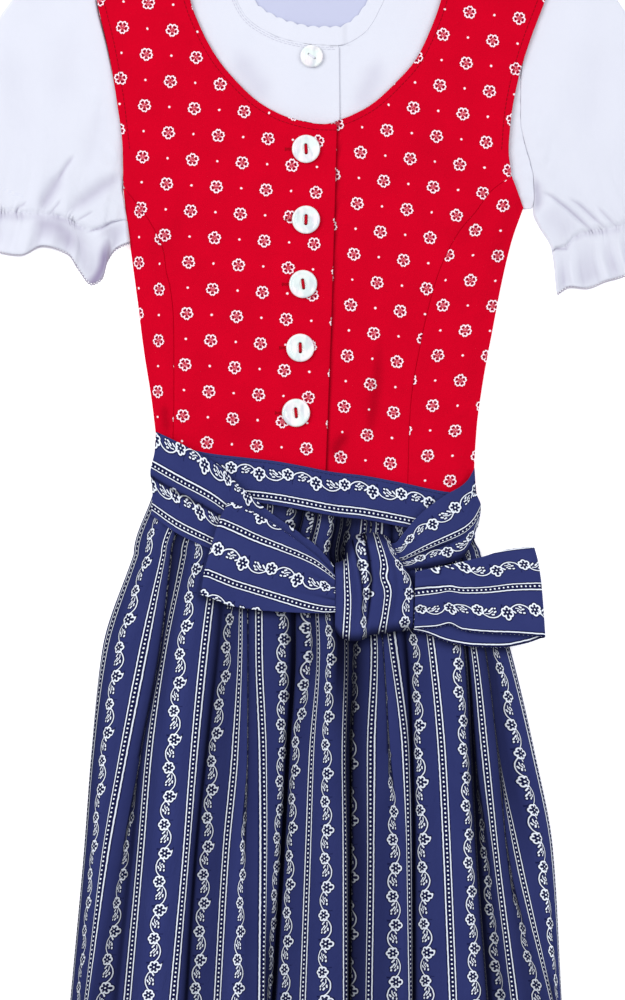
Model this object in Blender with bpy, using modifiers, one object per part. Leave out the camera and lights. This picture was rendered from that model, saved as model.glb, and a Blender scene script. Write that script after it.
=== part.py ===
"""A child's dirndl laid flat on its back: dress with buttoned bodice, puff-sleeved blouse, tied apron.

Run with blender --background --python part.py. Lengths in the tables are millimetres, measured in
plan from the middle of the waist: x to the viewer's right, y towards the neck, z up from the surface
that the dirndl lies on. "left" and "right" are the viewer's. The model itself is in metres, with the
origin under the middle of its outline.
"""

from collections import namedtuple

import bmesh
import bpy
import numpy as np

MM = 0.001
PLAN_CENTRE = np.array((1.0, -26.0))  # the middle of the whole outline, from the middle of the waist

# Walls of the cloths.
BODICE_WALL = 1.6  # lined cotton
SKIRT_WALL = 1.4
BLOUSE_WALL = 1.0
APRON_WALL = 1.2
BAND_WALL = 1.6  # the waistband is doubled
TIE_WALL = 1.2
LOOP_WALL = 1.0
SEAM_GAP = 0.3
BAND_CLEARANCE = 0.5
WAIST_GAP = 0.25  # each side of the waist seam
SEAM_STEPS = 13  # grid steps along a princess seam, shared by the pieces on both sides of it
ARMHOLE_STEPS = 12

# Heights at which each layer of the stack lies on the one below.
BLOUSE_BACK_Z = BODICE_WALL + SEAM_GAP
BLOUSE_FRONT_Z = BLOUSE_BACK_Z + BLOUSE_WALL + 0.4
BLOUSE_LAP = BLOUSE_WALL + SEAM_GAP
SIDE_SEAM_Z = BODICE_WALL + SEAM_GAP
CHEST_Z = BLOUSE_FRONT_Z + BLOUSE_LAP + BLOUSE_WALL + SEAM_GAP
WAIST_Z = 4.6
SKIRT_Z = 3.0
BODICE_LAP = BODICE_WALL + SEAM_GAP
APRON_TOP_Z = 7.7  # upper face of the apron in its valleys, at the waistband
APRON_LOW_Z = 6.5  # and over the skirt
TIE_Z = 11.6
LOOP_Z = 13.7
KNOT_Z = 13.2

SIDE_ROLL = 15.0  # a front drops to its side seam over this width
SHOULDER_ROLL = 11.0
CHEST_FROM_Y, CHEST_TO_Y = 100.0, 148.0  # the bodice climbs onto the blouse's hem between these
SKIRT_FROM_Y, SKIRT_TO_Y = -15.0, -60.0  # and drops from the waist to the skirt between these
RIPPLE = 0.35
RIPPLE_PITCH = 56.0
RIPPLE_FROM_Y, RIPPLE_TO_Y = -60.0, -140.0
TIE_ROLL = 20.0
SHOULDER_Y = 379.0
BLOUSE_SHOULDER_Y = 368.0
APRON_HEM_Y = -406.0
SKIRT_HEM_Y = -431.0

# Outlines: lists of (x, y).
SIDE_LEFT = [(-111, 20), (-112.5, 56), (-118.5, 91), (-123, 126), (-128, 161), (-133, 190)]
SIDE_RIGHT = [(111.5, -13), (111.5, 4), (115, 35), (122, 70), (127.5, 105), (134.5, 140), (140, 168),
              (145.5, 191)]
ARMHOLE_LEFT = [(-133, 190), (-133.5, 206), (-134, 231), (-138.5, 266), (-145.5, 301), (-153.5, 336),
                (-160, SHOULDER_Y)]
ARMHOLE_RIGHT = [(145.5, 191), (141.5, 202), (137, 213.5), (135, 231), (136.5, 252), (141.5, 280), (150, 308),
                 (160.5, 336), (174, SHOULDER_Y)]
NECK_LEFT = [(14.7, 249), (2.8, 249.2), (-18, 253.5), (-39, 264), (-56.5, 280), (-70.5, 297.5), (-80, 315),
             (-88, 336), (-95, SHOULDER_Y)]
NECK_RIGHT = [(-14.3, 252), (3, 248.8), (20, 253.5), (38, 262.5), (55.5, 278), (69.5, 294), (80, 315),
              (87.5, 336), (97, SHOULDER_Y)]
LAP_EDGE = [(6.3, -6), (11.2, 126), (13.3, 196), (14.7, 249)]
PRINCESS_LEFT = [(-100.5, 16), (-99.5, 57), (-99.5, 89), (-100, 115.5), (-102, 134), (-105, 147),
                 (-106.5, 159), (-112, 173), (-119, 185), (-133.3, 205)]
PRINCESS_RIGHT = [(64, -13), (66, 48), (68.5, 70), (72, 89), (75.5, 106.5), (80.5, 127), (87, 148),
                  (100, 173.5), (112, 188), (122.5, 202), (137, 213)]
WAIST_SEAM = [(-111, 20), (-60, 6), (0, -5), (60, -13), (111.5, -13)]
SKIRT_LEFT = [(-111, 20), (-106.5, 8), (-104.5, -5), (-104.5, -20), (-108, -35), (-116, -52), (-127, -78),
              (-139, -119), (-146, -180), (-152, -259), (-161, -364), (-166, SKIRT_HEM_Y)]
SKIRT_RIGHT = [(111.5, -13), (104, -28), (102, -40), (105, -56), (124, -119), (141, -192), (155, -259),
               (162, -364), (166, SKIRT_HEM_Y)]
BACK_NECK = [(-95, SHOULDER_Y), (-60, 362), (0, 356), (60, 362), (97, SHOULDER_Y)]
BACK_ARMHOLE_LEFT = [(-130, 206), (-130.5, 231), (-134.5, 266), (-141, 301), (-150, 336), (-160, SHOULDER_Y)]
BACK_ARMHOLE_RIGHT = [(134, 213), (132, 231), (133.5, 252), (139, 280), (147, 308), (157, 336),
                      (174, SHOULDER_Y)]

BLOUSE_HEM_Y = 152.0
BLOUSE_PLACKET_X = 17.5
BLOUSE_SEAM_LEFT = [(-137, 203), (-136, 216), (-135.2, 231), (-139.8, 266), (-147, 301), (-155, 336),
                    (-157, BLOUSE_SHOULDER_Y)]
BLOUSE_SEAM_RIGHT = [(152, 202), (152.6, 215.5), (147, 235), (143.5, 252), (143.5, 280), (148, 308),
                     (157, 336), (165, BLOUSE_SHOULDER_Y)]
BLOUSE_SIDE_LEFT = [(-114, BLOUSE_HEM_Y), (-118.5, 170), (-121.5, 188), (-127.5, 199.5), (-136, 203)]
BLOUSE_SIDE_RIGHT = [(124, BLOUSE_HEM_Y), (128.5, 170), (132.5, 188), (139, 200), (151, 202)]
NECK_SEAM = [(-63, BLOUSE_SHOULDER_Y), (-59, 346.5), (-49.5, 325.5), (-34, 314), (-18, 308), (0, 305),
             (14.5, 304.5), (34, 313.5), (46, 332.5), (53, 350), (59, BLOUSE_SHOULDER_Y)]
SCALLOPED_EDGE = [(-54.5, BLOUSE_SHOULDER_Y), (-50, 350), (-40.5, 332.5), (-29, 325), (-18, 320.5),
                  (0, 317), (15, 317), (26, 322.5), (36, 335), (43.5, 350), (49, BLOUSE_SHOULDER_Y)]
NECK_SEAM_BACK = [(-63, BLOUSE_SHOULDER_Y), (-40, 357), (-2, 351), (38, 357), (59, BLOUSE_SHOULDER_Y)]
FREE_EDGE_BACK = [(-54, BLOUSE_SHOULDER_Y), (-36, 363.5), (-2, 359.5), (34, 363.5), (50, BLOUSE_SHOULDER_Y)]
BACK_CLEARANCE = 1.5  # the back's armholes lie further in than the front's
NECK_STEPS = 61
SCALLOP_PITCH = 7.7
SCALLOP_DEPTH = 1.3

# Sleeves, each from its armhole seam to the edge of its ruffle.
UNDERARM_LEFT = [(-137, 203), (-134.5, 190), (-132.3, 182), (-131.5, 167)]
OUTER_LEFT = [(-158, BLOUSE_SHOULDER_Y), (-190, 362), (-213.5, 336), (-237, 300), (-254, 260), (-263, 225),
              (-259, 206), (-267, 177)]
RUFFLE_LEFT = [(-131.5, 167), (-140.5, 162.5), (-146, 154.5), (-150, 142), (-157, 138), (-166, 148),
               (-173.5, 159), (-192, 164.5), (-207, 158), (-221, 160), (-235, 168), (-250, 166), (-267, 177)]
UNDERARM_RIGHT = [(153, 202), (153.6, 188), (155, 180), (165.5, 161.5), (169, 131)]
OUTER_RIGHT = [(166, BLOUSE_SHOULDER_Y), (192, 362), (211.5, 336), (234, 301), (253.5, 259), (264, 224),
               (262, 204), (269, 172)]
RUFFLE_RIGHT = [(169, 131), (178, 136), (188.5, 135), (203, 140), (216.5, 144), (228, 152), (241, 153),
                (254, 164), (269, 172)]
SLEEVE_TOP_Z = 6.0
SLEEVE_SEAM_BOTTOM_Z = 1.9
SLEEVE_SEAM_TOP_Z = 4.9
GATHER_AT = 0.83  # share of the sleeve's length at which the elastic lies
GATHER_SHARE = 0.06  # half-width of the pinch at the elastic, as a share of the length
GATHER_PINCH = 0.9
GATHERS = 9
GATHER_DEPTH = 1.1

# Apron: folds across it, a row for each printed stripe and each crease between stripes. The columns are
# x at the hips' top, the hip, the thigh, the knee and the calf, then the lift of the cloth over its
# valleys at the top and below the thigh.
Fold = namedtuple("Fold", "name x_top x_hip x_thigh x_knee x_calf lift_top lift_low")
FOLDS = [
    Fold("left_edge", -128, -150, -157.5, -162.5, -172, -4.7, -4.7),
    Fold("dots_1", -125.5, -147.5, -155.5, -160.5, -170, -3.2, -3.2),
    Fold("vine_1", -118.5, -138, -149, -156, -166.5, -1.0, -0.6),
    Fold("dots_2", -106.5, -121, -135.5, -148, -161, 1, 3.2),
    Fold("vine_2", -101, -112, -126.5, -134.5, -150, 0.6, 2.5),
    Fold("crease_1", -96.5, -109, -119.5, -130, -141.5, 0, 0.6),
    Fold("dots_3", -92, -106.5, -117, -122.5, -132, 1.5, 3.5),
    Fold("vine_3", -83.5, -94.5, -101, -106.5, -116.5, 3, 7.5),
    Fold("dots_4", -70, -78.5, -85.5, -90.5, -100, 2.5, 6),
    Fold("crease_2", -63, -69, -77, -84, -91, 0, 0.4),
    Fold("vine_4", -59, -61.5, -72.5, -76.5, -84, 1.2, 3.5),
    Fold("dots_5", -52, -53, -56.5, -63, -69, 3, 7),
    Fold("vine_5", -47, -47.5, -47.5, -50.5, -55.5, 0, 5.5),
    Fold("dots_6", -40.5, -40, -36.5, -35.5, -36.5, 3, 7.5),
    Fold("vine_6", -25, -23, -24, -27.5, -33.5, 2.8, 7),
    Fold("gap_1", -17, -16, -20, -23.5, -30, 0, 0),
    Fold("vine_7", -7, -4, -15.5, -19, -22, 3, 8),
    Fold("dots_8", -3, 1.5, -3, -5.5, -9.5, 3.2, 9),
    Fold("vine_8", 7, 9, 6.5, 6.5, 4.5, 3.2, 8.5),
    Fold("dots_9", 13.5, 14.5, 17.5, 19, 19.5, 2, 6),
    Fold("gap_2", 17.5, 20.5, 22.5, 23, 23, 0, 0),
    Fold("dots_10", 32, 41.5, 38, 38, 36.5, 3, 6.5),
    Fold("vine_10", 36.5, 45, 52.5, 55, 55, 0.5, 6),
    Fold("dots_11", 41.5, 53, 63, 64.5, 66, 3, 8),
    Fold("crease_3", 52, 63, 67, 68.5, 68.5, 0.5, 1),
    Fold("vine_11", 59, 69.5, 71.5, 74, 77.5, 2, 5.5),
    Fold("dots_12", 69.5, 80.5, 88, 91.5, 96, 3.3, 9),
    Fold("vine_12", 85.5, 98.5, 104.5, 107.5, 111, 3, 8),
    Fold("dots_13", 88.5, 104, 108, 110.5, 117, 1.5, 5),
    Fold("gap_3", 91.5, 106.5, 110.5, 114, 123, 0, 0),
    Fold("vine_13", 93.5, 108.5, 113.5, 119, 130, 1, 2.5),
    Fold("dots_14", 96, 111, 118.5, 125, 138.5, 2.5, 7),
    Fold("vine_14", 101, 117.5, 125.5, 132.5, 156, 0.3, 3.5),
    Fold("dots_15", 103, 120, 128.5, 140, 165, 0.6, 2.2),
    Fold("vine_15", 106.5, 126.5, 143, 158, 169, -0.3, -1.2),
    Fold("dots_16", 112.5, 134.5, 151, 163.5, 170, -3.2, -3.2),
    Fold("right_edge", 115.5, 136.5, 153.5, 166, 172, -4.7, -4.7),
]
APRON_LEVELS_Y = [-52, -119, -192, -259, -364]  # where the x columns are read
APRON_HEM_FLARE = 1.013  # from the last row to the hem
APRON_ROWS_Y = [-52, -70, -92, -119, -155, -192, -225, -259, -310, -364, APRON_HEM_Y]
LIFT_TOP_Y = -50.0
LIFT_LOW_Y = -190.0
APRON_STRETCHES = 2  # grid steps between two rows of the fold table
BAND_LEFT_X = -112.5
BAND_RIGHT_X = 111.0

WAISTBAND_TOP = [(-111.6, 33), (-91, 22.5), (-73, 18.5), (-52, 16), (-30, 13.5), (-8.5, 9.7), (12.5, 5.6),
                 (31, 3.5), (59, -1.6), (93, -8.4), (111.4, -10)]
WAISTBAND_HEIGHT = 31.0
BAND_LAP_Y = 5.0  # where the waistband crosses the bodice's lap

TIE_LEFT_TOP = [(-112, 34), (-91, 23.7), (-68.5, 10.5), (-57, -0.5), (-45, -11.5), (-30, -24), (-14, -35),
                (2, -47.5), (12.5, -60)]
TIE_LEFT_BOTTOM = [(-115.4, -24.5), (-96, -38), (-77, -47), (-50, -58), (-20, -70), (12.5, -80)]
TIE_LEFT_END = [(-112, 34), (-113, 20), (-116, 5), (-114.5, -8), (-115.4, -24.5)]
TIE_RIGHT_TOP = [(55, -44), (60, -38.5), (70, -26.5), (81, -17), (93, -9), (101, -4.5), (106.5, 0.5),
                 (111, 8.5)]
TIE_RIGHT_BOTTOM = [(69, -58), (87, -53), (104, -46), (110.3, -38.5)]
TIE_RIGHT_END = [(111, 8.5), (112.5, -9.5), (115.5, -18), (114.3, -28.5), (110.3, -38.5)]

# Bow loops: edges run from the knot outwards. The layer behind shows below the front one on the right.
LOOP_LEFT_TOP = [(13.2, -66), (1.5, -54), (-13.5, -42), (-29, -31), (-46, -21), (-58.5, -15.5)]
LOOP_LEFT_BOTTOM = [(13.6, -92.5), (5, -93), (-30, -91.7), (-56, -88.5), (-78, -80.5)]
LOOP_LEFT_TIP = [(-58.5, -15.5), (-64.5, -27), (-70.5, -47), (-75, -63), (-78, -80.5)]
LOOP_RIGHT_TOP = [(69.3, -64), (84, -61), (98, -58), (116.5, -53.5), (133, -48.5), (149.5, -46.5)]
LOOP_RIGHT_BOTTOM = [(68.6, -104), (84, -103), (93, -101), (102, -105), (120, -107), (138, -107.8),
                     (157.3, -109.2)]
LOOP_RIGHT_BACK = [(68.2, -105.5), (75.5, -107), (93, -113.5), (111, -116.5), (129, -117), (147, -114),
                   (157.3, -110.5)]
LOOP_RIGHT_TIP = [(149.5, -46.5), (152.3, -57.5), (154.4, -71.5), (155.8, -87.5), (157.3, -109.2)]
LOOP_RISE_AT_KNOT = 1.5
LOOP_RISE_AT_TIP = 4.6
LOOP_PLEATS = 3
LOOP_PLEAT_DEPTH = 0.8
LOOP_PLEAT_SHARE = 0.6  # of the loop's length, from the knot

KNOT_TOP = [(14, -60), (21, -50), (30, -39.5), (46, -37.5), (58, -38), (66, -44)]
KNOT_BOTTOM = [(15.5, -102), (24, -110.5), (35, -111.5), (44, -108.5), (58, -106), (67.3, -105.5)]
KNOT_LEFT = [(14, -60), (13.6, -80), (15.5, -102)]
KNOT_RIGHT = [(66, -44), (68.3, -60), (68.7, -85), (67.3, -105.5)]
KNOT_EDGE = 1.2
KNOT_HEIGHT = 9.0
KNOT_PLEATS = 4
KNOT_PLEAT_SHARE = 0.14  # of the knot's height

# Buttons: (x, y) of each centre.
BODICE_BUTTONS = [(-7, 231.5), (-7, 182), (-9, 137), (-11, 92.5), (-14, 47)]
BODICE_BUTTON_RADIUS = 9.8
BLOUSE_BUTTON = (-3, 296.8)
BLOUSE_BUTTON_RADIUS = 7.9
BUTTON_THICKNESS = 2.6
BUTTON_SIDES = 20
BUTTON_HOLE_RADIUS = 1.1
BUTTON_HOLE_PITCH = 4.6

# Laps: the upper front is level over LAP_WIDTH from its edge, the lower one reaches UNDERLAP under it.
BODICE_LAP_WIDTH = 34.0
BODICE_LAP_STEP = 8.0
BODICE_UNDERLAP = 29.0
BLOUSE_LAP_WIDTH = 32.0
BLOUSE_LAP_STEP = 14.0
BLOUSE_UNDERLAP = 24.0

RED = (0.70, 0.002, 0.015)
WHITE = (0.83, 0.85, 0.92)
NAVY = (0.032, 0.043, 0.155)
PEARL = (0.85, 0.85, 0.82)


def smooth(share):
    """0 to 1 with level ends."""
    share = np.clip(share, 0.0, 1.0)
    return share * share * (3.0 - 2.0 * share)


def between(start, end, at, at_start, at_end):
    """start up to at_start, end from at_end, eased in between."""
    return start + (end - start) * smooth((at - at_start) / (at_end - at_start))


def through(knots, values, at):
    """A smooth curve through the values that never overshoots them."""
    knots, values = np.asarray(knots, float), np.asarray(values, float)
    steps = np.diff(knots)
    slopes = np.diff(values) / steps
    tangents = np.zeros(len(knots))
    for i in range(1, len(knots) - 1):
        if slopes[i - 1] * slopes[i] > 0:
            before, after = 2 * steps[i] + steps[i - 1], steps[i] + 2 * steps[i - 1]
            tangents[i] = (before + after) / (before / slopes[i - 1] + after / slopes[i])
    tangents[0], tangents[-1] = slopes[0], slopes[-1]
    at = np.clip(at, knots[0], knots[-1])
    i = np.clip(np.searchsorted(knots, at, side="right") - 1, 0, len(steps) - 1)
    h = steps[i]
    t = (at - knots[i]) / h
    rise = 3 * t**2 - 2 * t**3
    start, end = t - 2 * t**2 + t**3, t**3 - t**2
    return values[i] * (1 - rise) + values[i + 1] * rise + h * (tangents[i] * start + tangents[i + 1] * end)


def along(points, shares):
    """Points at these shares of a curve's length, on a smooth curve through its points."""
    points = np.asarray(points, float)
    length = np.concatenate([[0.0], np.cumsum(np.hypot(*np.diff(points, axis=0).T))])
    at = np.asarray(shares) * length[-1]
    return np.stack([through(length, points[:, 0], at), through(length, points[:, 1], at)], axis=-1)


def evenly(points, count):
    return along(points, np.linspace(0, 1, count))


def sampled(*stretches):
    """One run of points along stretches that meet, each a (curve, number of steps)."""
    runs = [evenly(curve, steps + 1) for curve, steps in stretches]
    return np.concatenate([runs[0]] + [run[1:] for run in runs[1:]])


def patch(near, far, start, end, across, down):
    """Plan of a cloth between four edges: near and far run across it, start and end run down it."""
    near, far = along(near, across), along(far, across)
    start = along(start, down) if isinstance(start, list) else start.copy()
    end = along(end, down) if isinstance(end, list) else end.copy()
    start[0], start[-1], end[0], end[-1] = near[0], far[0], near[-1], far[-1]
    u, v = np.asarray(across)[None, :, None], np.asarray(down)[:, None, None]
    blend = (1 - v) * near[None] + v * far[None] + (1 - u) * start[:, None] + u * end[:, None]
    corners = (1 - u) * (1 - v) * near[0] + u * (1 - v) * near[-1] + (1 - u) * v * far[0] + u * v * far[-1]
    return blend - corners


def distance_to(line, x, y):
    """Distance in plan from each point to a polyline."""
    nearest = np.full(np.shape(x), np.inf)
    for (ax, ay), (bx, by) in zip(line, line[1:]):
        run = (bx - ax) ** 2 + (by - ay) ** 2
        t = np.clip(((x - ax) * (bx - ax) + (y - ay) * (by - ay)) / run, 0, 1)
        nearest = np.minimum(nearest, np.hypot(x - ax - t * (bx - ax), y - ay - t * (by - ay)))
    return nearest


def side_share(x, y):
    """0 on a side seam of the dress, 1 from SIDE_ROLL inside it."""
    left = distance_to(SKIRT_LEFT[::-1] + SIDE_LEFT[1:], x, y)
    right = distance_to(SKIRT_RIGHT[::-1] + SIDE_RIGHT[1:], x, y)
    return smooth(np.minimum(left, right) / SIDE_ROLL)


def bodice_front_z(x, y):
    """Underside of the bodice's front, without its lap."""
    level = between(WAIST_Z, CHEST_Z, y, CHEST_FROM_Y, CHEST_TO_Y)
    share = side_share(x, y) * smooth((SHOULDER_Y - y) / SHOULDER_ROLL)
    return SIDE_SEAM_Z + (level - SIDE_SEAM_Z) * share


def lap_edge_x(y):
    edge = np.asarray(LAP_EDGE)
    return np.interp(y, edge[:, 1], edge[:, 0])


def bodice_lap(x, y):
    """Rise of the left front where it laps over the right one."""
    return between(BODICE_LAP, 0, lap_edge_x(y) - x, BODICE_LAP_WIDTH, BODICE_LAP_WIDTH + BODICE_LAP_STEP)


def blouse_lap(x):
    """Rise of the blouse's left front where it laps over the right one."""
    return between(BLOUSE_LAP, 0, BLOUSE_PLACKET_X - x, BLOUSE_LAP_WIDTH, BLOUSE_LAP_WIDTH + BLOUSE_LAP_STEP)


def skirt_front_z(x, y):
    level = between(WAIST_Z, SKIRT_Z, y, SKIRT_FROM_Y, SKIRT_TO_Y)
    ripple = between(0, RIPPLE, y, RIPPLE_FROM_Y, RIPPLE_TO_Y) * (1 + np.sin(2 * np.pi * x / RIPPLE_PITCH))
    ripple *= side_share(x, y)
    return SIDE_SEAM_Z + (level - SIDE_SEAM_Z) * side_share(x, y) + ripple


def band_z(x, y):
    """Underside of the waistband: over the bodice's lap in the middle, down at the sides."""
    edge = lap_edge_x(BAND_LAP_Y)
    lap = bodice_lap(x, BAND_LAP_Y) * between(1, 0, x, edge + 1.0, edge + 1.0 + BODICE_LAP_STEP)
    level = WAIST_Z + BODICE_WALL + BAND_CLEARANCE
    side = SIDE_SEAM_Z + BODICE_WALL + BAND_CLEARANCE
    return side + (level + lap - side) * side_share(x, y)


def tie_z(x):
    """Underside of the ties: level over the apron's gathers, rolling down at the silhouette."""
    edge = band_z(BAND_LEFT_X, 0.0) + BAND_WALL + BAND_CLEARANCE
    inside = np.minimum(x - BAND_LEFT_X, BAND_RIGHT_X - x) + 2.0
    return between(edge, TIE_Z, inside, 0, TIE_ROLL)


def material(name, colour, roughness, coat=0.0):
    made = bpy.data.materials.new(name)
    made.use_nodes = True
    surface = made.node_tree.nodes["Principled BSDF"]
    surface.inputs["Base Color"].default_value = (*colour, 1.0)
    surface.inputs["Roughness"].default_value = roughness
    surface.inputs["Metallic"].default_value = 0.0
    surface.inputs["Coat Weight"].default_value = coat
    made.diffuse_color = (*colour, 1.0)
    return made


def add(name, mesh, cloth):
    made = bpy.data.objects.new(name, mesh)
    dirndl.objects.link(made)
    mesh.materials.append(cloth)
    return made


def to_world(x, y, z):
    return (x - PLAN_CENTRE[0]) * MM, (y - PLAN_CENTRE[1]) * MM, z * MM


def grid_mesh(plan, height):
    """A grid laid on the plan's points at these heights, all in millimetres."""
    rows, columns = plan.shape[:2]
    mesh = bmesh.new()
    bmesh.ops.create_grid(mesh, x_segments=columns - 1, y_segments=rows - 1, size=0.5)
    for vertex in mesh.verts:
        column = round((vertex.co.x + 0.5) * (columns - 1))
        row = round((vertex.co.y + 0.5) * (rows - 1))
        vertex.co = to_world(*plan[row, column], height[row, column])
    return mesh


def finish(name, grid, cloth):
    bmesh.ops.recalc_face_normals(grid, faces=grid.faces[:])
    mesh = bpy.data.meshes.new(name)
    grid.to_mesh(mesh)
    grid.free()
    mesh.shade_smooth()
    return add(name, mesh, cloth)


def laid_cloth(name, plan, underside, wall, cloth):
    """A wall of cloth on a grid, thickened straight up from its underside."""
    grid = grid_mesh(plan, underside)
    walls = np.broadcast_to(wall, plan.shape[:2]).ravel()
    grid.verts.index_update()
    above = {(vertex.co.x, vertex.co.y): walls[vertex.index] * MM for vertex in grid.verts}
    lifted = bmesh.ops.extrude_face_region(grid, geom=grid.faces[:], use_keep_orig=True)
    for vertex in (item for item in lifted["geom"] if isinstance(item, bmesh.types.BMVert)):
        vertex.co.z += above[vertex.co.x, vertex.co.y]
    return finish(name, grid, cloth)


def flat_cloth(name, outline, underside, wall, cloth):
    """A level wall of cloth: a filled plane curve, extruded by half its thickness each way."""
    curve = bpy.data.curves.new(name, "CURVE")
    curve.dimensions = "2D"
    curve.fill_mode = "BOTH"
    curve.extrude = wall / 2 * MM
    line = curve.splines.new("POLY")
    line.points.add(len(outline) - 1)
    for point, (x, y) in zip(line.points, outline):
        point.co = (*to_world(x, y, 0)[:2], 0, 1)
    line.use_cyclic_u = True
    made = add(name, curve, cloth)
    made.location.z = (underside + wall / 2) * MM
    return made


def thicken(piece, wall, offset):
    solid = piece.modifiers.new("Wall", "SOLIDIFY")
    solid.thickness = wall * MM
    solid.offset = offset
    return piece


def moved(points, dx=0.0, dy=0.0):
    return [(x + dx, y + dy) for x, y in points]


def waist_stretch(start, end, dy):
    """Points of the waist seam from x = start to x = end, dy above it."""
    seam = np.asarray(WAIST_SEAM, float)
    return [(x, through(seam[:, 0], seam[:, 1], x) + dy) for x in np.linspace(start, end, 13)]


def bodice_fronts():
    rows = np.linspace(0, 1, SEAM_STEPS + ARMHOLE_STEPS + 1)
    across = np.array([0, 0.12, 0.25, 0.4, 0.5, 0.58, 0.65, 0.71, 0.78, 0.88, 1])
    outer = sampled((moved(PRINCESS_LEFT, dx=SEAM_GAP / 2), SEAM_STEPS), (ARMHOLE_LEFT[1:], ARMHOLE_STEPS))
    inner = sampled((LAP_EDGE, SEAM_STEPS), (NECK_LEFT, ARMHOLE_STEPS))
    waist = waist_stretch(-100.2, LAP_EDGE[0][0], WAIST_GAP)
    plan = patch(waist, [ARMHOLE_LEFT[-1], NECK_LEFT[-1]], outer, inner, across, rows)
    x, y = plan[..., 0], plan[..., 1]
    laid_cloth("bodice_front_left", plan, bodice_front_z(x, y) + bodice_lap(x, y), BODICE_WALL, red)
    hidden_edge = moved(LAP_EDGE, dx=-BODICE_UNDERLAP)
    inner = sampled((hidden_edge, SEAM_STEPS), (NECK_RIGHT, ARMHOLE_STEPS))
    outer = sampled((moved(PRINCESS_RIGHT, dx=-SEAM_GAP / 2), SEAM_STEPS), (ARMHOLE_RIGHT[2:], ARMHOLE_STEPS))
    waist = waist_stretch(hidden_edge[0][0], PRINCESS_RIGHT[0][0] - SEAM_GAP / 2, WAIST_GAP)
    plan = patch(waist, [NECK_RIGHT[-1], ARMHOLE_RIGHT[-1]], inner, outer, np.linspace(0, 1, 8), rows)
    laid_cloth("bodice_front_right", plan, bodice_front_z(plan[..., 0], plan[..., 1]), BODICE_WALL, red)


def bodice_sides():
    rows = np.linspace(0, 1, SEAM_STEPS + 1)
    across = np.linspace(0, 1, 6)
    seam = evenly(moved(PRINCESS_LEFT, dx=-SEAM_GAP / 2), SEAM_STEPS + 1)
    top = [SIDE_LEFT[-1], (PRINCESS_LEFT[-1][0] - SEAM_GAP / 2, PRINCESS_LEFT[-1][1] - SEAM_GAP)]
    waist = waist_stretch(SIDE_LEFT[0][0], seam[0][0], WAIST_GAP)
    plan = patch(waist, top, SIDE_LEFT, seam, across, rows)
    laid_cloth("bodice_side_left", plan, bodice_front_z(plan[..., 0], plan[..., 1]), BODICE_WALL, red)
    seam = evenly(moved(PRINCESS_RIGHT, dx=SEAM_GAP / 2), SEAM_STEPS + 1)
    top = [(PRINCESS_RIGHT[-1][0] + SEAM_GAP / 2, PRINCESS_RIGHT[-1][1] - SEAM_GAP), SIDE_RIGHT[-1]]
    waist = waist_stretch(seam[0][0], SIDE_RIGHT[0][0], WAIST_GAP)
    plan = patch(waist, top, seam, SIDE_RIGHT, across, rows)
    laid_cloth("bodice_side_right", plan, bodice_front_z(plan[..., 0], plan[..., 1]), BODICE_WALL, red)


def bodice_back():
    outline = waist_stretch(111.5, -111, WAIST_GAP) + SIDE_LEFT[1:] + BACK_ARMHOLE_LEFT + BACK_NECK
    outline += BACK_ARMHOLE_RIGHT[::-1] + SIDE_RIGHT[:0:-1]
    flat_cloth("bodice_back", outline, 0.0, BODICE_WALL, red)


def skirt():
    outline = waist_stretch(-111, 111.5, -WAIST_GAP) + SKIRT_RIGHT[1:] + SKIRT_LEFT[:0:-1]
    flat_cloth("skirt_back", outline, 0.0, SKIRT_WALL, red)
    rows = np.array([0, 0.04, 0.09, 0.15, 0.22, 0.32, 0.45, 0.7, 1])
    across = np.concatenate([[0, 0.02, 0.045], np.linspace(0.08, 0.92, 17), [0.955, 0.98, 1]])
    hem = [SKIRT_LEFT[-1], SKIRT_RIGHT[-1]]
    plan = patch(waist_stretch(-111, 111.5, -WAIST_GAP), hem, SKIRT_LEFT, SKIRT_RIGHT, across, rows)
    laid_cloth("skirt_front", plan, skirt_front_z(plan[..., 0], plan[..., 1]), SKIRT_WALL, red)


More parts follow.
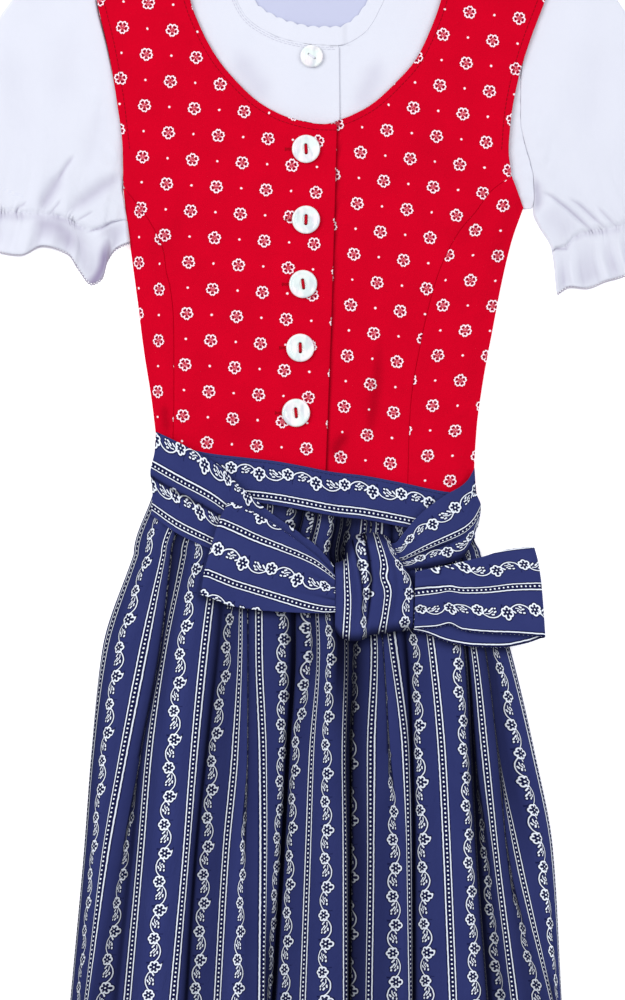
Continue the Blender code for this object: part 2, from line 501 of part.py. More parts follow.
def blouse_body():
    seam_left = list(evenly(moved(BLOUSE_SEAM_LEFT, dx=BACK_CLEARANCE), 19))
    seam_right = list(evenly(moved(BLOUSE_SEAM_RIGHT, dx=-BACK_CLEARANCE), 19))
    back_neck = list(evenly(NECK_SEAM_BACK, 21))
    outline = BLOUSE_SIDE_LEFT[:-1] + seam_left + back_neck + seam_right[::-1] + BLOUSE_SIDE_RIGHT[:-1][::-1]
    flat_cloth("blouse_back", outline, BLOUSE_BACK_Z, BLOUSE_WALL, white)
    neck = evenly(moved(NECK_SEAM, dy=-SEAM_GAP), NECK_STEPS)
    neck_left = [tuple(point) for point in neck if point[0] < BLOUSE_PLACKET_X][::-1]
    neck_right = [tuple(point) for point in neck if point[0] > BLOUSE_PLACKET_X - BLOUSE_UNDERLAP]
    outer = sampled((BLOUSE_SIDE_LEFT, 4), (moved(BLOUSE_SEAM_LEFT, dx=SEAM_GAP), 18))
    placket = [(BLOUSE_PLACKET_X, BLOUSE_HEM_Y), neck_left[0]]
    inner = sampled((placket, 4), (neck_left, 18))
    plan = patch([BLOUSE_SIDE_LEFT[0], placket[0]], [BLOUSE_SEAM_LEFT[-1], neck_left[-1]], outer, inner,
                 np.array([0, 0.25, 0.45, 0.6, 0.7, 0.78, 0.86, 1]), np.linspace(0, 1, 23))
    laid_cloth("blouse_front_left", plan, BLOUSE_FRONT_Z + blouse_lap(plan[..., 0]), BLOUSE_WALL, white)
    seam_right = evenly(moved(BLOUSE_SEAM_RIGHT, dx=-SEAM_GAP), 19)
    hidden_hem = (BLOUSE_PLACKET_X - BLOUSE_UNDERLAP, BLOUSE_HEM_Y)
    outline = [hidden_hem, *BLOUSE_SIDE_RIGHT[:-1], *seam_right, *neck_right[::-1]]
    flat_cloth("blouse_front_right", outline, BLOUSE_FRONT_Z, BLOUSE_WALL, white)


def scalloped(edge, inward, steps):
    """An edge with small scallops along it."""
    shares = np.linspace(0, 1, steps)
    line = along(edge, shares)
    run = np.hypot(*np.diff(line, axis=0).T).sum()
    waves = round(run / SCALLOP_PITCH)
    line[:, 1] += inward * SCALLOP_DEPTH * np.abs(np.sin(np.pi * waves * shares))
    return line


def neck_bands():
    seam = evenly(NECK_SEAM, NECK_STEPS)
    edge = scalloped(SCALLOPED_EDGE, 1, NECK_STEPS)
    plan = np.stack([seam, seam + (edge - seam) * 0.5, edge])
    past_placket = between(1, 0, plan[..., 0], BLOUSE_PLACKET_X, BLOUSE_PLACKET_X + 5.0)
    level = BLOUSE_FRONT_Z + blouse_lap(plan[..., 0]) * past_placket
    laid_cloth("blouse_neck_front", plan, level, BLOUSE_WALL, white)
    seam = evenly(moved(NECK_SEAM_BACK, dy=SEAM_GAP), 21)
    edge = evenly(FREE_EDGE_BACK, 21)
    plan = np.stack([seam, edge])
    laid_cloth("blouse_neck_back", plan, np.full(plan.shape[:2], BLOUSE_BACK_Z), BLOUSE_WALL, white)


def sleeve(name, seam, outer, underarm, ruffle, phase):
    """A flattened puff: one loop of cloth round each ring, from the armhole seam to the ruffle's edge."""
    length = np.array([0, 0.07, 0.16, 0.3, 0.5, 0.7, GATHER_AT, 0.9, 1.0])
    upper, lower = np.linspace(0.02, 0.98, 26), np.linspace(0.98, 0.02, 10)
    turn, turn_level = np.array([0.007, 0.0, 0.007]), np.array([0.15, 0.5, 0.85])
    around = np.concatenate([turn, upper, 1 - turn, lower])
    level = np.concatenate([turn_level, np.ones(len(upper)), turn_level[::-1], np.zeros(len(lower))])
    order = np.argsort(around, kind="stable")
    plan = np.empty((len(length), len(around), 2))
    plan[:, order] = patch(seam, ruffle, underarm, outer, around[order], length)
    opened = smooth(length / 0.2)[:, None]
    bottom = SLEEVE_SEAM_BOTTOM_Z * (1 - opened)
    puff = SLEEVE_SEAM_TOP_Z + (SLEEVE_TOP_Z - SLEEVE_SEAM_TOP_Z) * opened
    pinch = GATHER_PINCH * np.exp(-(((length - GATHER_AT) / GATHER_SHARE) ** 2))[:, None]
    wave = 0.5 - 0.5 * np.cos(2 * np.pi * GATHERS * around + phase)[None]
    depth = between(0, GATHER_DEPTH, length, 0.3, 0.7)[:, None]
    top = puff - pinch - depth * wave
    height = bottom + (top - bottom) * level
    height = np.concatenate([height, height[:, :1]], axis=1)
    plan = np.concatenate([plan, plan[:, :1]], axis=1)
    grid = grid_mesh(plan, height)
    bmesh.ops.remove_doubles(grid, verts=grid.verts[:], dist=1e-6)
    thicken(finish(name, grid, white), BLOUSE_WALL, -1)


def sleeves():
    sleeve("blouse_sleeve_left", BLOUSE_SEAM_LEFT, OUTER_LEFT, UNDERARM_LEFT, RUFFLE_LEFT, 0.4)
    sleeve("blouse_sleeve_right", BLOUSE_SEAM_RIGHT, OUTER_RIGHT, UNDERARM_RIGHT, RUFFLE_RIGHT, 1.7)


def apron_rows():
    """x and lift of every fold at each row of the apron, then the y of each."""
    xs = np.array([[f.x_top, f.x_hip, f.x_thigh, f.x_knee, f.x_calf] for f in FOLDS], float)
    levels = -np.array(APRON_LEVELS_Y, float)
    below = np.array([through(levels, fold, -np.array(APRON_ROWS_Y)) for fold in xs]).T
    below[-1] = below[-2] * APRON_HEM_FLARE
    share = (xs[:, 0] - xs[0, 0]) / (xs[-1, 0] - xs[0, 0])
    at_band = BAND_LEFT_X + share * (BAND_RIGHT_X - BAND_LEFT_X)
    x = np.vstack([at_band, (at_band + below[0]) / 2, below])
    band_y = waistband_top_y(at_band) - WAISTBAND_HEIGHT - 1.5 * SEAM_GAP
    y_rows = np.array(APRON_ROWS_Y, float)
    y = np.vstack([band_y, (band_y + y_rows[0]) / 2, np.repeat(y_rows[:, None], len(FOLDS), axis=1)])
    top = np.array([f.lift_top for f in FOLDS])
    low = np.array([f.lift_low for f in FOLDS])
    return x, y, between(top, low, y, LIFT_TOP_Y, LIFT_LOW_Y)


def apron_panel():
    x, y, lift = apron_rows()
    steps = np.linspace(0, len(FOLDS) - 1, (len(FOLDS) - 1) * APRON_STRETCHES + 1)
    rows = []
    for row_x, row_y, row_lift in zip(x, y, lift):
        at = np.interp(steps, range(len(FOLDS)), row_x)
        at_y = np.interp(at, row_x, row_y)
        base = between(APRON_TOP_Z, APRON_LOW_Z, at_y, SKIRT_FROM_Y, SKIRT_TO_Y)
        rows.append(np.stack([at, at_y, base + through(row_x, row_lift, at)], axis=-1))
    points = np.array(rows)
    grid = grid_mesh(points[..., :2], points[..., 2])
    piece = finish("apron_panel", grid, navy)
    facing_up = piece.data.polygons[0].normal.z > 0
    thicken(piece, APRON_WALL, -1 if facing_up else 1)


def waistband_top_y(x):
    edge = np.asarray(WAISTBAND_TOP)
    return through(edge[:, 0], edge[:, 1], x)


def waistband():
    x = np.linspace(WAISTBAND_TOP[0][0], WAISTBAND_TOP[-1][0], 41)
    down = np.array([0, 0.5, 1])[:, None] * WAISTBAND_HEIGHT
    plan = np.stack(np.broadcast_arrays(x[None], waistband_top_y(x)[None] - down), axis=-1)
    laid_cloth("apron_waistband", plan, band_z(plan[..., 0], plan[..., 1]), BAND_WALL, navy)


def ties():
    across = np.concatenate([[0, 0.02, 0.05, 0.09], np.linspace(0.15, 1, 10)])
    down = np.linspace(0, 1, 5)
    inner = [TIE_LEFT_TOP[-1], TIE_LEFT_BOTTOM[-1]]
    plan = patch(TIE_LEFT_TOP, TIE_LEFT_BOTTOM, TIE_LEFT_END, inner, across, down)
    laid_cloth("apron_tie_left", plan, tie_z(plan[..., 0]), TIE_WALL, navy)
    inner = [TIE_RIGHT_TOP[0], TIE_RIGHT_BOTTOM[0]]
    plan = patch(TIE_RIGHT_TOP, TIE_RIGHT_BOTTOM, inner, TIE_RIGHT_END, 1 - across[::-1], down)
    laid_cloth("apron_tie_right", plan, tie_z(plan[..., 0]), TIE_WALL, navy)


def bow_loop(name, top, bottom, back, tip):
    """One strip from the knot out behind, round its tip and back in front."""
    across = np.linspace(0, 1, 12)
    outward = np.linspace(0, 1, 7)
    knot_end, knot_back = [top[0], bottom[0]], [top[0], back[0]]
    tip_back = tip[:-1] + [back[-1]]
    front = patch(top, bottom, knot_end, tip, outward, across).transpose(1, 0, 2)
    behind = patch(top, back, knot_back, tip_back, outward, across).transpose(1, 0, 2)
    rise = between(LOOP_RISE_AT_KNOT, LOOP_RISE_AT_TIP, outward, 0, 0.8)
    pleat = 0.5 - 0.5 * np.cos(2 * np.pi * LOOP_PLEATS * across)[None]
    pleat = pleat * between(LOOP_PLEAT_DEPTH, 0, outward, 0, LOOP_PLEAT_SHARE)[:, None]
    base = LOOP_Z + LOOP_WALL / 2
    layers = [(behind[i], np.full(len(across), base)) for i in range(len(outward))]
    side = np.sign(tip[0][0] - top[0][0])
    for angle in np.radians((-50, 0, 50)):
        half = LOOP_RISE_AT_TIP / 2
        share = (1 + np.sin(angle)) / 2
        middle = behind[-1] * (1 - share) + front[-1] * share
        height = np.full(len(across), base + half + half * np.sin(angle))
        layers.append((middle + (side * half * np.cos(angle), 0), height))
    for i in range(len(outward) - 1, -1, -1):
        layers.append((front[i], base + rise[i] + pleat[i]))
    plan = np.array([points for points, _ in layers])
    height = np.array([z for _, z in layers])
    thicken(finish(name, grid_mesh(plan, height), navy), LOOP_WALL, 0)


def bow():
    bow_loop("bow_loop_left", LOOP_LEFT_TOP, LOOP_LEFT_BOTTOM, moved(LOOP_LEFT_BOTTOM, dy=0.4), LOOP_LEFT_TIP)
    bow_loop("bow_loop_right", LOOP_RIGHT_TOP, LOOP_RIGHT_BOTTOM, LOOP_RIGHT_BACK, LOOP_RIGHT_TIP)
    across = np.linspace(0.005, 0.995, 19)
    down = np.linspace(0, 1, 9)
    plan = patch(KNOT_TOP, KNOT_BOTTOM, KNOT_LEFT, KNOT_RIGHT, across, down)
    u, v = across[None], down[:, None]
    dome = np.sin(np.pi * u) ** 0.45 * (0.35 + 0.65 * np.sin(np.pi * v) ** 0.5)
    pleats = KNOT_PLEAT_SHARE * np.cos(2 * np.pi * KNOT_PLEATS * u) * np.sin(np.pi * u)
    wall = KNOT_EDGE + KNOT_HEIGHT * dome * (1 - np.abs(pleats))
    laid_cloth("bow_knot", plan, KNOT_Z + 0 * plan[..., 0], wall, navy)


def button(name, centre, radius, under):
    """A turned disc with a raised rim, sunk middle and two sewing holes."""
    rim = BUTTON_THICKNESS
    profile = [(0, 1.7), (0.64, 1.7), (0.78, rim), (0.95, 2.4), (1, 1.3), (0.86, 0), (0, 0)]
    line = bpy.data.meshes.new(name)
    edges = [(i, i + 1) for i in range(len(profile) - 1)]
    line.from_pydata([(share * radius * MM, 0, z * MM) for share, z in profile], edges, [])
    made = add(name, line, pearl)
    screw = made.modifiers.new("Turn", "SCREW")
    screw.steps = screw.render_steps = BUTTON_SIDES
    screw.use_merge_vertices = True
    screw.merge_threshold = 1e-5
    screw.use_normal_calculate = True
    for side in (-1, 1):
        bpy.ops.mesh.primitive_cylinder_add(
            vertices=8, radius=BUTTON_HOLE_RADIUS * MM, depth=4 * BUTTON_THICKNESS * MM)
        hole = bpy.context.object
        hole.name = f"{name}_hole_{side}"
        hole.parent = made
        hole.location = (0, side * BUTTON_HOLE_PITCH / 2 * MM, 0)
        hole.hide_render = True
        hole.display_type = "WIRE"
        for owner in list(hole.users_collection):
            owner.objects.unlink(hole)
        cutters.objects.link(hole)
        cut = made.modifiers.new("Hole", "BOOLEAN")
        cut.object = hole
        cut.operation = "DIFFERENCE"
        cut.solver = "EXACT"
    made.location = to_world(*centre, under)


def buttons():
    for number, (x, y) in enumerate(BODICE_BUTTONS, start=1):
        under = bodice_front_z(np.array(x), np.array(y)) + BODICE_LAP + BODICE_WALL + SEAM_GAP
        button(f"bodice_button_{number}", (x, y), BODICE_BUTTON_RADIUS, float(under))
    under = BLOUSE_FRONT_Z + BLOUSE_LAP + BLOUSE_WALL + SEAM_GAP
    button("blouse_button", BLOUSE_BUTTON, BLOUSE_BUTTON_RADIUS, under)


for old in list(bpy.data.objects):
    bpy.data.objects.remove(old)
dirndl = bpy.data.collections.new("dirndl")
cutters = bpy.data.collections.new("cutters")
bpy.context.scene.collection.children.link(dirndl)
bpy.context.scene.collection.children.link(cutters)
cutters.hide_render = True

red = material("red_cotton", RED, 0.85)
white = material("white_cotton", WHITE, 0.85)
navy = material("navy_cotton", NAVY, 0.8)
pearl = material("mother_of_pearl", PEARL, 0.25, coat=0.5)

bodice_fronts()
bodice_sides()
bodice_back()
skirt()
blouse_body()
neck_bands()
sleeves()
apron_panel()
waistband()
ties()
bow()
buttons()
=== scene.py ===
"""Looks of a child's dirndl laid flat: printed cotton shells, stitching, buttons, floor, light and camera.

Lengths are millimetres in plan from the middle of the waist, as in the part's source: x to the viewer's
right, y towards the neck, z up from the surface that the dirndl lies on. "left" and "right" are the
viewer's.
"""

import math
from collections import namedtuple

import bmesh
import bpy
import numpy as np
from mathutils import Matrix, Vector


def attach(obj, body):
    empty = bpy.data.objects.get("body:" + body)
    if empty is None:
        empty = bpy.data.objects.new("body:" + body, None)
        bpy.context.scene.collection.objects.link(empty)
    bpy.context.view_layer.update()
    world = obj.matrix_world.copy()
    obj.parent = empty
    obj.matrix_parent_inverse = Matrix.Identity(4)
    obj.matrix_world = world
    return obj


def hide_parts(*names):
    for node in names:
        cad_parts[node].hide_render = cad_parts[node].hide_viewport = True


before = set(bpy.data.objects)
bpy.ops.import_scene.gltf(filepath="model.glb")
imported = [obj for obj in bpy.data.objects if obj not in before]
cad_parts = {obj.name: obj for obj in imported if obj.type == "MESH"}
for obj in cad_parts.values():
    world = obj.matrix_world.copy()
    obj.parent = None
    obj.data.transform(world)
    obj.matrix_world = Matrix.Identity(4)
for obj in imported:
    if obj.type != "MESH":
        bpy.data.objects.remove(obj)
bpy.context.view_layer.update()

MM = 0.001
PLAN_CENTRE = np.array((1.0, -26.0))  # the middle of the whole outline, from the middle of the waist

# The photograph's scale: one pixel is this many millimetres, and this pixel is the middle of the waist.
PIXEL = 0.7
WAIST_PIXEL = (316.0, 480.0)
PHOTO_CENTRE_PIXEL = (312.5, 500.0)
PHOTO_HEIGHT_PIXELS = 1000.0

# Walls and heights of the layers, as in the part's source.
BODICE_WALL = 1.6
SKIRT_WALL = 1.4
BLOUSE_WALL = 1.0
APRON_WALL = 1.2
BAND_WALL = 1.6
TIE_WALL = 1.2
LOOP_WALL = 1.0
SEAM_GAP = 0.3
BAND_CLEARANCE = 0.5
WAIST_GAP = 0.25
SEAM_STEPS = 13
ARMHOLE_STEPS = 12
BLOUSE_BACK_Z = BODICE_WALL + SEAM_GAP
BLOUSE_FRONT_Z = BLOUSE_BACK_Z + BLOUSE_WALL + 0.4
BLOUSE_LAP = BLOUSE_WALL + SEAM_GAP
SIDE_SEAM_Z = BODICE_WALL + SEAM_GAP
CHEST_Z = BLOUSE_FRONT_Z + BLOUSE_LAP + BLOUSE_WALL + SEAM_GAP
WAIST_Z = 4.6
SKIRT_Z = 3.0
BODICE_LAP = BODICE_WALL + SEAM_GAP
APRON_TOP_Z = 7.7
APRON_LOW_Z = 6.5
TIE_Z = 11.6
LOOP_Z = 13.7
KNOT_Z = 13.2
SIDE_ROLL = 15.0
SHOULDER_ROLL = 11.0
CHEST_FROM_Y, CHEST_TO_Y = 100.0, 148.0
SKIRT_FROM_Y, SKIRT_TO_Y = -15.0, -60.0
RIPPLE = 0.35
RIPPLE_PITCH = 56.0
RIPPLE_FROM_Y, RIPPLE_TO_Y = -60.0, -140.0
TIE_ROLL = 20.0
SHOULDER_Y = 379.0
BLOUSE_SHOULDER_Y = 368.0
APRON_HEM_Y = -406.0
SKIRT_HEM_Y = -431.0

# Outlines of the dress.
SIDE_LEFT = [(-111, 20), (-115.3, 56), (-120.8, 91), (-125.2, 126), (-129.9, 161), (-133.7, 190)]
SIDE_RIGHT = [(111.5, -13), (111, 4), (112.6, 35), (117.3, 70), (123.8, 105), (130.6, 140), (137.4, 168),
              (145.5, 191)]
ARMHOLE_LEFT = [(-133.7, 190), (-135, 206), (-135.4, 231), (-139.6, 266), (-145.5, 301), (-153.5, 336),
                (-160, SHOULDER_Y)]
ARMHOLE_RIGHT = [(145.5, 191), (141.5, 202), (137, 213.5), (135, 231), (136.5, 252), (141.5, 280), (150, 308),
                 (160.5, 336), (174, SHOULDER_Y)]
NECK_LEFT = [(14.7, 249), (2.8, 249.2), (-18, 253.5), (-39, 264), (-56.5, 280), (-70.5, 297.5), (-80, 315),
             (-88, 336), (-95, SHOULDER_Y)]
NECK_RIGHT = [(-14.3, 252), (3, 248.8), (20, 253.5), (38, 262.5), (55.5, 278), (69.5, 294), (80, 315),
              (87.5, 336), (97, SHOULDER_Y)]
LAP_EDGE = [(6.3, -6), (11.2, 126), (13.3, 196), (14.7, 249)]
PRINCESS_LEFT = [(-100.5, 16), (-99.5, 57), (-99.5, 89), (-100, 115.5), (-102, 134), (-105, 147),
                 (-106.5, 159), (-112, 173), (-119, 185), (-134.8, 205)]
PRINCESS_RIGHT = [(64, -13), (66, 48), (68.5, 70), (72, 89), (75.5, 106.5), (80.5, 127), (87, 148),
                  (100, 173.5), (112, 188), (122.5, 202), (137, 213)]
WAIST_SEAM = [(-111, 20), (-60, 6), (0, -5), (60, -13), (111.5, -13)]
SKIRT_LEFT = [(-111, 20), (-106.5, 8), (-104.5, -5), (-104.5, -20), (-108, -35), (-116, -52), (-127, -78),
              (-139, -119), (-146, -180), (-152, -259), (-161, -364), (-166, SKIRT_HEM_Y)]
SKIRT_RIGHT = [(111.5, -13), (104, -28), (102, -40), (105, -56), (124, -119), (141, -192), (155, -259),
               (162, -364), (166, SKIRT_HEM_Y)]
BACK_NECK = [(-95, SHOULDER_Y), (-60, 362), (0, 356), (60, 362), (97, SHOULDER_Y)]
BACK_ARMHOLE_LEFT = [(-130, 206), (-130.5, 231), (-134.5, 266), (-141, 301), (-150, 336), (-160, SHOULDER_Y)]
BACK_ARMHOLE_RIGHT = [(134, 213), (132, 231), (133.5, 252), (139, 280), (147, 308), (157, 336),
                      (174, SHOULDER_Y)]

# Outlines of the blouse.
BLOUSE_HEM_Y = 152.0
BLOUSE_PLACKET_X = 17.5
SLEEVE_SEAM_LEFT = [(-136, 203), (-134.6, 216), (-133.8, 231), (-138.2, 266), (-145.2, 301), (-153, 336),
                    (-155, BLOUSE_SHOULDER_Y)]
BLOUSE_SEAM_LEFT = [(-137, 203), (-136, 216), (-135.2, 231), (-139.8, 266), (-147, 301), (-155, 336),
                    (-157, BLOUSE_SHOULDER_Y)]
BLOUSE_SEAM_RIGHT = [(152, 202), (152.6, 215.5), (147, 235), (143.5, 252), (143.5, 280), (148, 308),
                     (157, 336), (165, BLOUSE_SHOULDER_Y)]
BLOUSE_SIDE_LEFT = [(-114, BLOUSE_HEM_Y), (-118.5, 170), (-121.5, 188), (-127.5, 199.5), (-136, 203)]
BLOUSE_SIDE_RIGHT = [(124, BLOUSE_HEM_Y), (128.5, 170), (132.5, 188), (139, 200), (151, 202)]
BLOUSE_CORNER_RIGHT = [(124, BLOUSE_HEM_Y), (128.5, 170), (134, 182), (140, 188.5), (145.8, 190.3),
                       (152.3, 190.3)]
NECK_SEAM = [(-63, BLOUSE_SHOULDER_Y), (-59, 346.5), (-49.5, 325.5), (-34, 314), (-18, 308), (0, 305),
             (14.5, 304.5), (34, 313.5), (46, 332.5), (53, 350), (59, BLOUSE_SHOULDER_Y)]
SCALLOPED_EDGE = [(-54.5, BLOUSE_SHOULDER_Y), (-50, 350), (-40.5, 332.5), (-29, 325), (-18, 320.5),
                  (0, 317), (15, 317), (26, 322.5), (36, 335), (43.5, 350), (49, BLOUSE_SHOULDER_Y)]
NECK_SEAM_BACK = [(-63, BLOUSE_SHOULDER_Y), (-40, 357), (-2, 351), (38, 357), (59, BLOUSE_SHOULDER_Y)]
FREE_EDGE_BACK = [(-54, BLOUSE_SHOULDER_Y), (-36, 363.5), (-2, 359.5), (34, 363.5), (50, BLOUSE_SHOULDER_Y)]
BACK_CLEARANCE = 1.5
SCALLOP_PITCH = 7.7
SCALLOP_DEPTH = 1.3

UNDERARM_LEFT = [(-136.2, 203), (-134.2, 190), (-132.8, 182), (-130.8, 167)]
OUTER_LEFT = [(-158, BLOUSE_SHOULDER_Y), (-190, 362), (-213.5, 336), (-237, 300), (-254, 260), (-263, 225),
              (-259, 206), (-267, 177)]
RUFFLE_LEFT = [(-130.8, 167), (-140.5, 162.5), (-146, 154.5), (-150, 142), (-157, 138), (-166, 148),
               (-173.5, 159), (-192, 164.5), (-207, 158), (-221, 160), (-235, 168), (-250, 166), (-267, 177)]
SLEEVE_SEAM_RIGHT = [(152.3, 190.3), (153.1, 198), (152.6, 211), (150.5, 222), (146.5, 236), (143.5, 252),
                     (143.5, 280), (148, 308), (157, 336), (165, BLOUSE_SHOULDER_Y)]
UNDERARM_RIGHT = [(152.3, 190.3), (152.7, 186), (155.5, 179.5), (165.5, 161.5), (169, 131)]
OUTER_RIGHT = [(166, BLOUSE_SHOULDER_Y), (192, 362), (211.5, 336), (234, 301), (253.5, 259), (264, 224),
               (262, 204), (269, 172)]
RUFFLE_RIGHT = [(169, 131), (178, 136), (188.5, 135), (203, 140), (216.5, 144), (228, 152), (241, 153),
                (254, 164), (269, 172)]
SLEEVE_TOP_Z = 6.0
SLEEVE_SEAM_BOTTOM_Z = 1.9
SLEEVE_SEAM_TOP_Z = 4.9
GATHER_LEFT = [(-267, 192), (-235, 189), (-213, 187), (-185, 186), (-171, 182), (-165, 178), (-157.5, 174.7),
               (-150, 176.8), (-143, 180.6), (-136, 182), (-129, 182)]
GATHER_RIGHT = [(160, 163), (170, 162), (177, 164), (184, 170), (191, 173.5), (205, 176), (230, 182),
                (269, 193)]
GATHER_SHARE = 0.018
GATHER_PINCH = 1.6

# Apron: a row for each printed stripe and each crease between stripes. The columns are x at the hips' top,
# the hip, the thigh, the knee and the calf, the lift over the valleys at the top and below the thigh, and
# the stripe of the flat cloth that lies there (even ones are dotted, odd ones are vines).
Fold = namedtuple("Fold", "name x_top x_hip x_thigh x_knee x_calf lift_top lift_low stripe")
FOLDS = [
    Fold("left_edge", -128, -150, -157.5, -162.5, -172, -4.7, -4.7, -0.3),
    Fold("dots_1", -125.5, -147.5, -156.9, -162.1, -171.7, -3.2, -4.0, 0),
    Fold("vine_1", -118.5, -138, -149, -156, -166.5, -1.0, -0.6, 1),
    Fold("dots_2", -106.5, -121, -135.5, -148, -161, 1, 3.2, 2),
    Fold("fold_2", -102, -109.6, -123.5, -136, -156.5, 0.8, 3.0, 2.55),
    Fold("vine_2", -101.5, -109.2, -123, -133.5, -150, 0.6, 2.5, 3),
    Fold("crease_1", -100, -108.8, -122.3, -129, -140.5, 0, 0.6, 3.5),
    Fold("dots_3", -92, -106.2, -117.2, -122.8, -132, 1.5, 3.5, 4),
    Fold("vine_3", -83.5, -94.5, -101, -106.5, -116.5, 3, 7.5, 5),
    Fold("dots_4", -70, -78.5, -85.5, -90.5, -100, 2.5, 6, 6),
    Fold("crease_2", -63, -69, -77, -84, -91, 0, 0.4, 6.5),
    Fold("vine_4", -59, -61.5, -72.5, -76.5, -84, 1.2, 3.5, 7),
    Fold("dots_5", -52, -53, -56.5, -63, -69, 3, 7, 8),
    Fold("fold_5", -48, -48.3, -48.6, -54, -61, 0.6, 5.8, 8.6),
    Fold("vine_5", -47.6, -47.9, -48.2, -51, -55.5, 0, 5.5, 9),
    Fold("under_5", -47.2, -47.5, -47.8, -48.6, -49, 0.6, 5.0, 9.45),
    Fold("dots_6", -40.5, -40, -36.5, -35.5, -36.5, 3, 7.5, 10),
    Fold("vine_6", -25, -23, -24, -27.5, -33.5, 2.8, 7, 11),
    Fold("gap_1", -17, -16, -20, -23.5, -30, 0, 0, 11.55),
    Fold("wall_1", -14.9, -13.9, -18.1, -21.5, -27.9, 0.5, 1.0, 11.8),
    Fold("fold_7", -14.3, -13.3, -17.6, -21.0, -27.3, 1.5, 7.0, 12.6),
    Fold("vine_7", -7, -4, -15.0, -18.5, -22, 3, 8, 13),
    Fold("dots_8", -3, 1.5, -3, -5.5, -9.5, 3.2, 9, 14),
    Fold("vine_8", 7, 9, 6.5, 6.5, 4.5, 3.2, 8.5, 15),
    Fold("wall_9", 9.5, 15.2, 13.0, 13.5, 13.5, 1.6, 6.8, 15.45),
    Fold("under_9", 11.5, 18.4, 15.5, 16.0, 16.2, 0.8, 6.2, 15.65),
    Fold("dots_9", 14.5, 21.2, 20.0, 20.8, 21.2, 0.8, 6, 16),
    Fold("gap_2", 18.5, 27.2, 24.3, 24.3, 23.6, 0, 0, 17),
    Fold("after_9", 25.0, 34.0, 32.5, 33.0, 32.5, 1.6, 4.6, 17.6),
    Fold("dots_10", 32, 41.5, 38, 38, 36.5, 3, 6.5, 18),
    Fold("fold_10", 36.0, 47.0, 50.5, 48, 47, 0.5, 5.5, 18.6),
    Fold("vine_10", 36.4, 47.4, 51.5, 55, 55, 0.5, 6, 19),
    Fold("under_10", 36.8, 47.8, 52.5, 60, 61, 0.8, 6.5, 19.4),
    Fold("dots_11", 41.5, 53, 63, 64.5, 66, 3, 8, 20),
    Fold("crease_3", 52, 63, 67, 68.5, 68.5, 0.5, 1, 20.4),
    Fold("vine_11", 59, 69.5, 71.5, 74, 77.5, 2, 5.5, 21),
    Fold("dots_12", 69.5, 80.5, 88, 91.5, 96, 3.3, 9, 22),
    Fold("vine_12", 85.5, 98.5, 104.5, 107.5, 111, 3, 8, 23),
    Fold("fold_13", 89.0, 103.0, 107.5, 111, 118.5, 2.5, 6.5, 23.5),
    Fold("dots_13", 89.6, 103.6, 108.2, 111.6, 119.2, 1.5, 3.5, 24),
    Fold("gap_3", 91.5, 106.0, 110.7, 114, 122, 0, 0, 24.6),
    Fold("vine_13", 91.9, 106.4, 111.3, 118.5, 130, 0.3, 1.8, 25),
    Fold("edge_14", 92.5, 107.0, 112.6, 121.8, 134.8, 0.8, 3.5, 25.62),
    Fold("dots_14", 95.5, 110.2, 118.3, 125.3, 138.2, 2.5, 7, 26),
    Fold("fold_14", 100, 117.5, 126.2, 132.5, 148, 0.8, 4.0, 26.55),
    Fold("vine_14", 100.3, 117.8, 126.5, 133.2, 156, 0.3, 3.5, 27),
    Fold("under_14", 100.6, 118.1, 126.8, 134.0, 161, 0.4, 2.6, 27.45),
    Fold("dots_15", 100.9, 118.4, 127.3, 140, 165, 0.6, 2.2, 28),
    Fold("after_15", 101.3, 118.8, 128.2, 143.5, 166, 0.6, 1.8, 28.25),
    Fold("before_15", 103.8, 122.4, 134.0, 149.5, 167.3, 0.3, 0.8, 28.6),
    Fold("vine_15", 106.5, 126.5, 143, 158, 169, -0.3, -1.2, 29),
    Fold("dots_16", 112.5, 134.5, 152.9, 165.6, 171.7, -3.2, -4.0, 30),
    Fold("right_edge", 115.5, 136.5, 153.5, 166, 172, -4.7, -4.7, 30.5),
]
APRON_LEVELS_Y = [-52, -119, -192, -259, -364]
APRON_HEM_FLARE = 1.013
LIFT_TOP_Y = -50.0
LIFT_LOW_Y = -190.0
BAND_LEFT_X = -112.5
BAND_RIGHT_X = 111.0
STRIPE_PITCH = 16.5  # from a dotted stripe to the next vine

WAISTBAND_TOP = [(-111.6, 33), (-91, 22.5), (-73, 18.5), (-52, 16), (-30, 13.5), (-8.5, 9.7), (12.5, 5.6),
                 (31, 3.5), (59, -1.6), (93, -8.4), (111.4, -10)]
WAISTBAND_HEIGHT = 31.0
BAND_LAP_Y = 5.0

TIE_LEFT_TOP = [(-112, 34), (-91, 23.7), (-68.5, 10.5), (-57, -0.5), (-45, -11.5), (-30, -24), (-14, -35),
                (2, -47.5), (12.5, -60)]
TIE_LEFT_BOTTOM = [(-115.4, -24.5), (-96, -38), (-77, -47), (-50, -58), (-20, -70), (12.5, -80)]
TIE_LEFT_END = [(-112, 34), (-113, 20), (-116, 5), (-114.5, -8), (-115.4, -24.5)]
TIE_RIGHT_TOP = [(46, -45), (55, -44), (60, -38.5), (70, -26.5), (81, -17), (93, -9), (101, -4.5),
                 (106.5, 0.5), (111, 8.5)]
TIE_RIGHT_BOTTOM = [(56, -63), (69, -62), (87, -59.5), (102, -54.5), (107.5, -47), (110.3, -38.5)]
TIE_RIGHT_END = [(111, 8.5), (112.5, -9.5), (115.5, -18), (114.3, -28.5), (110.3, -38.5)]

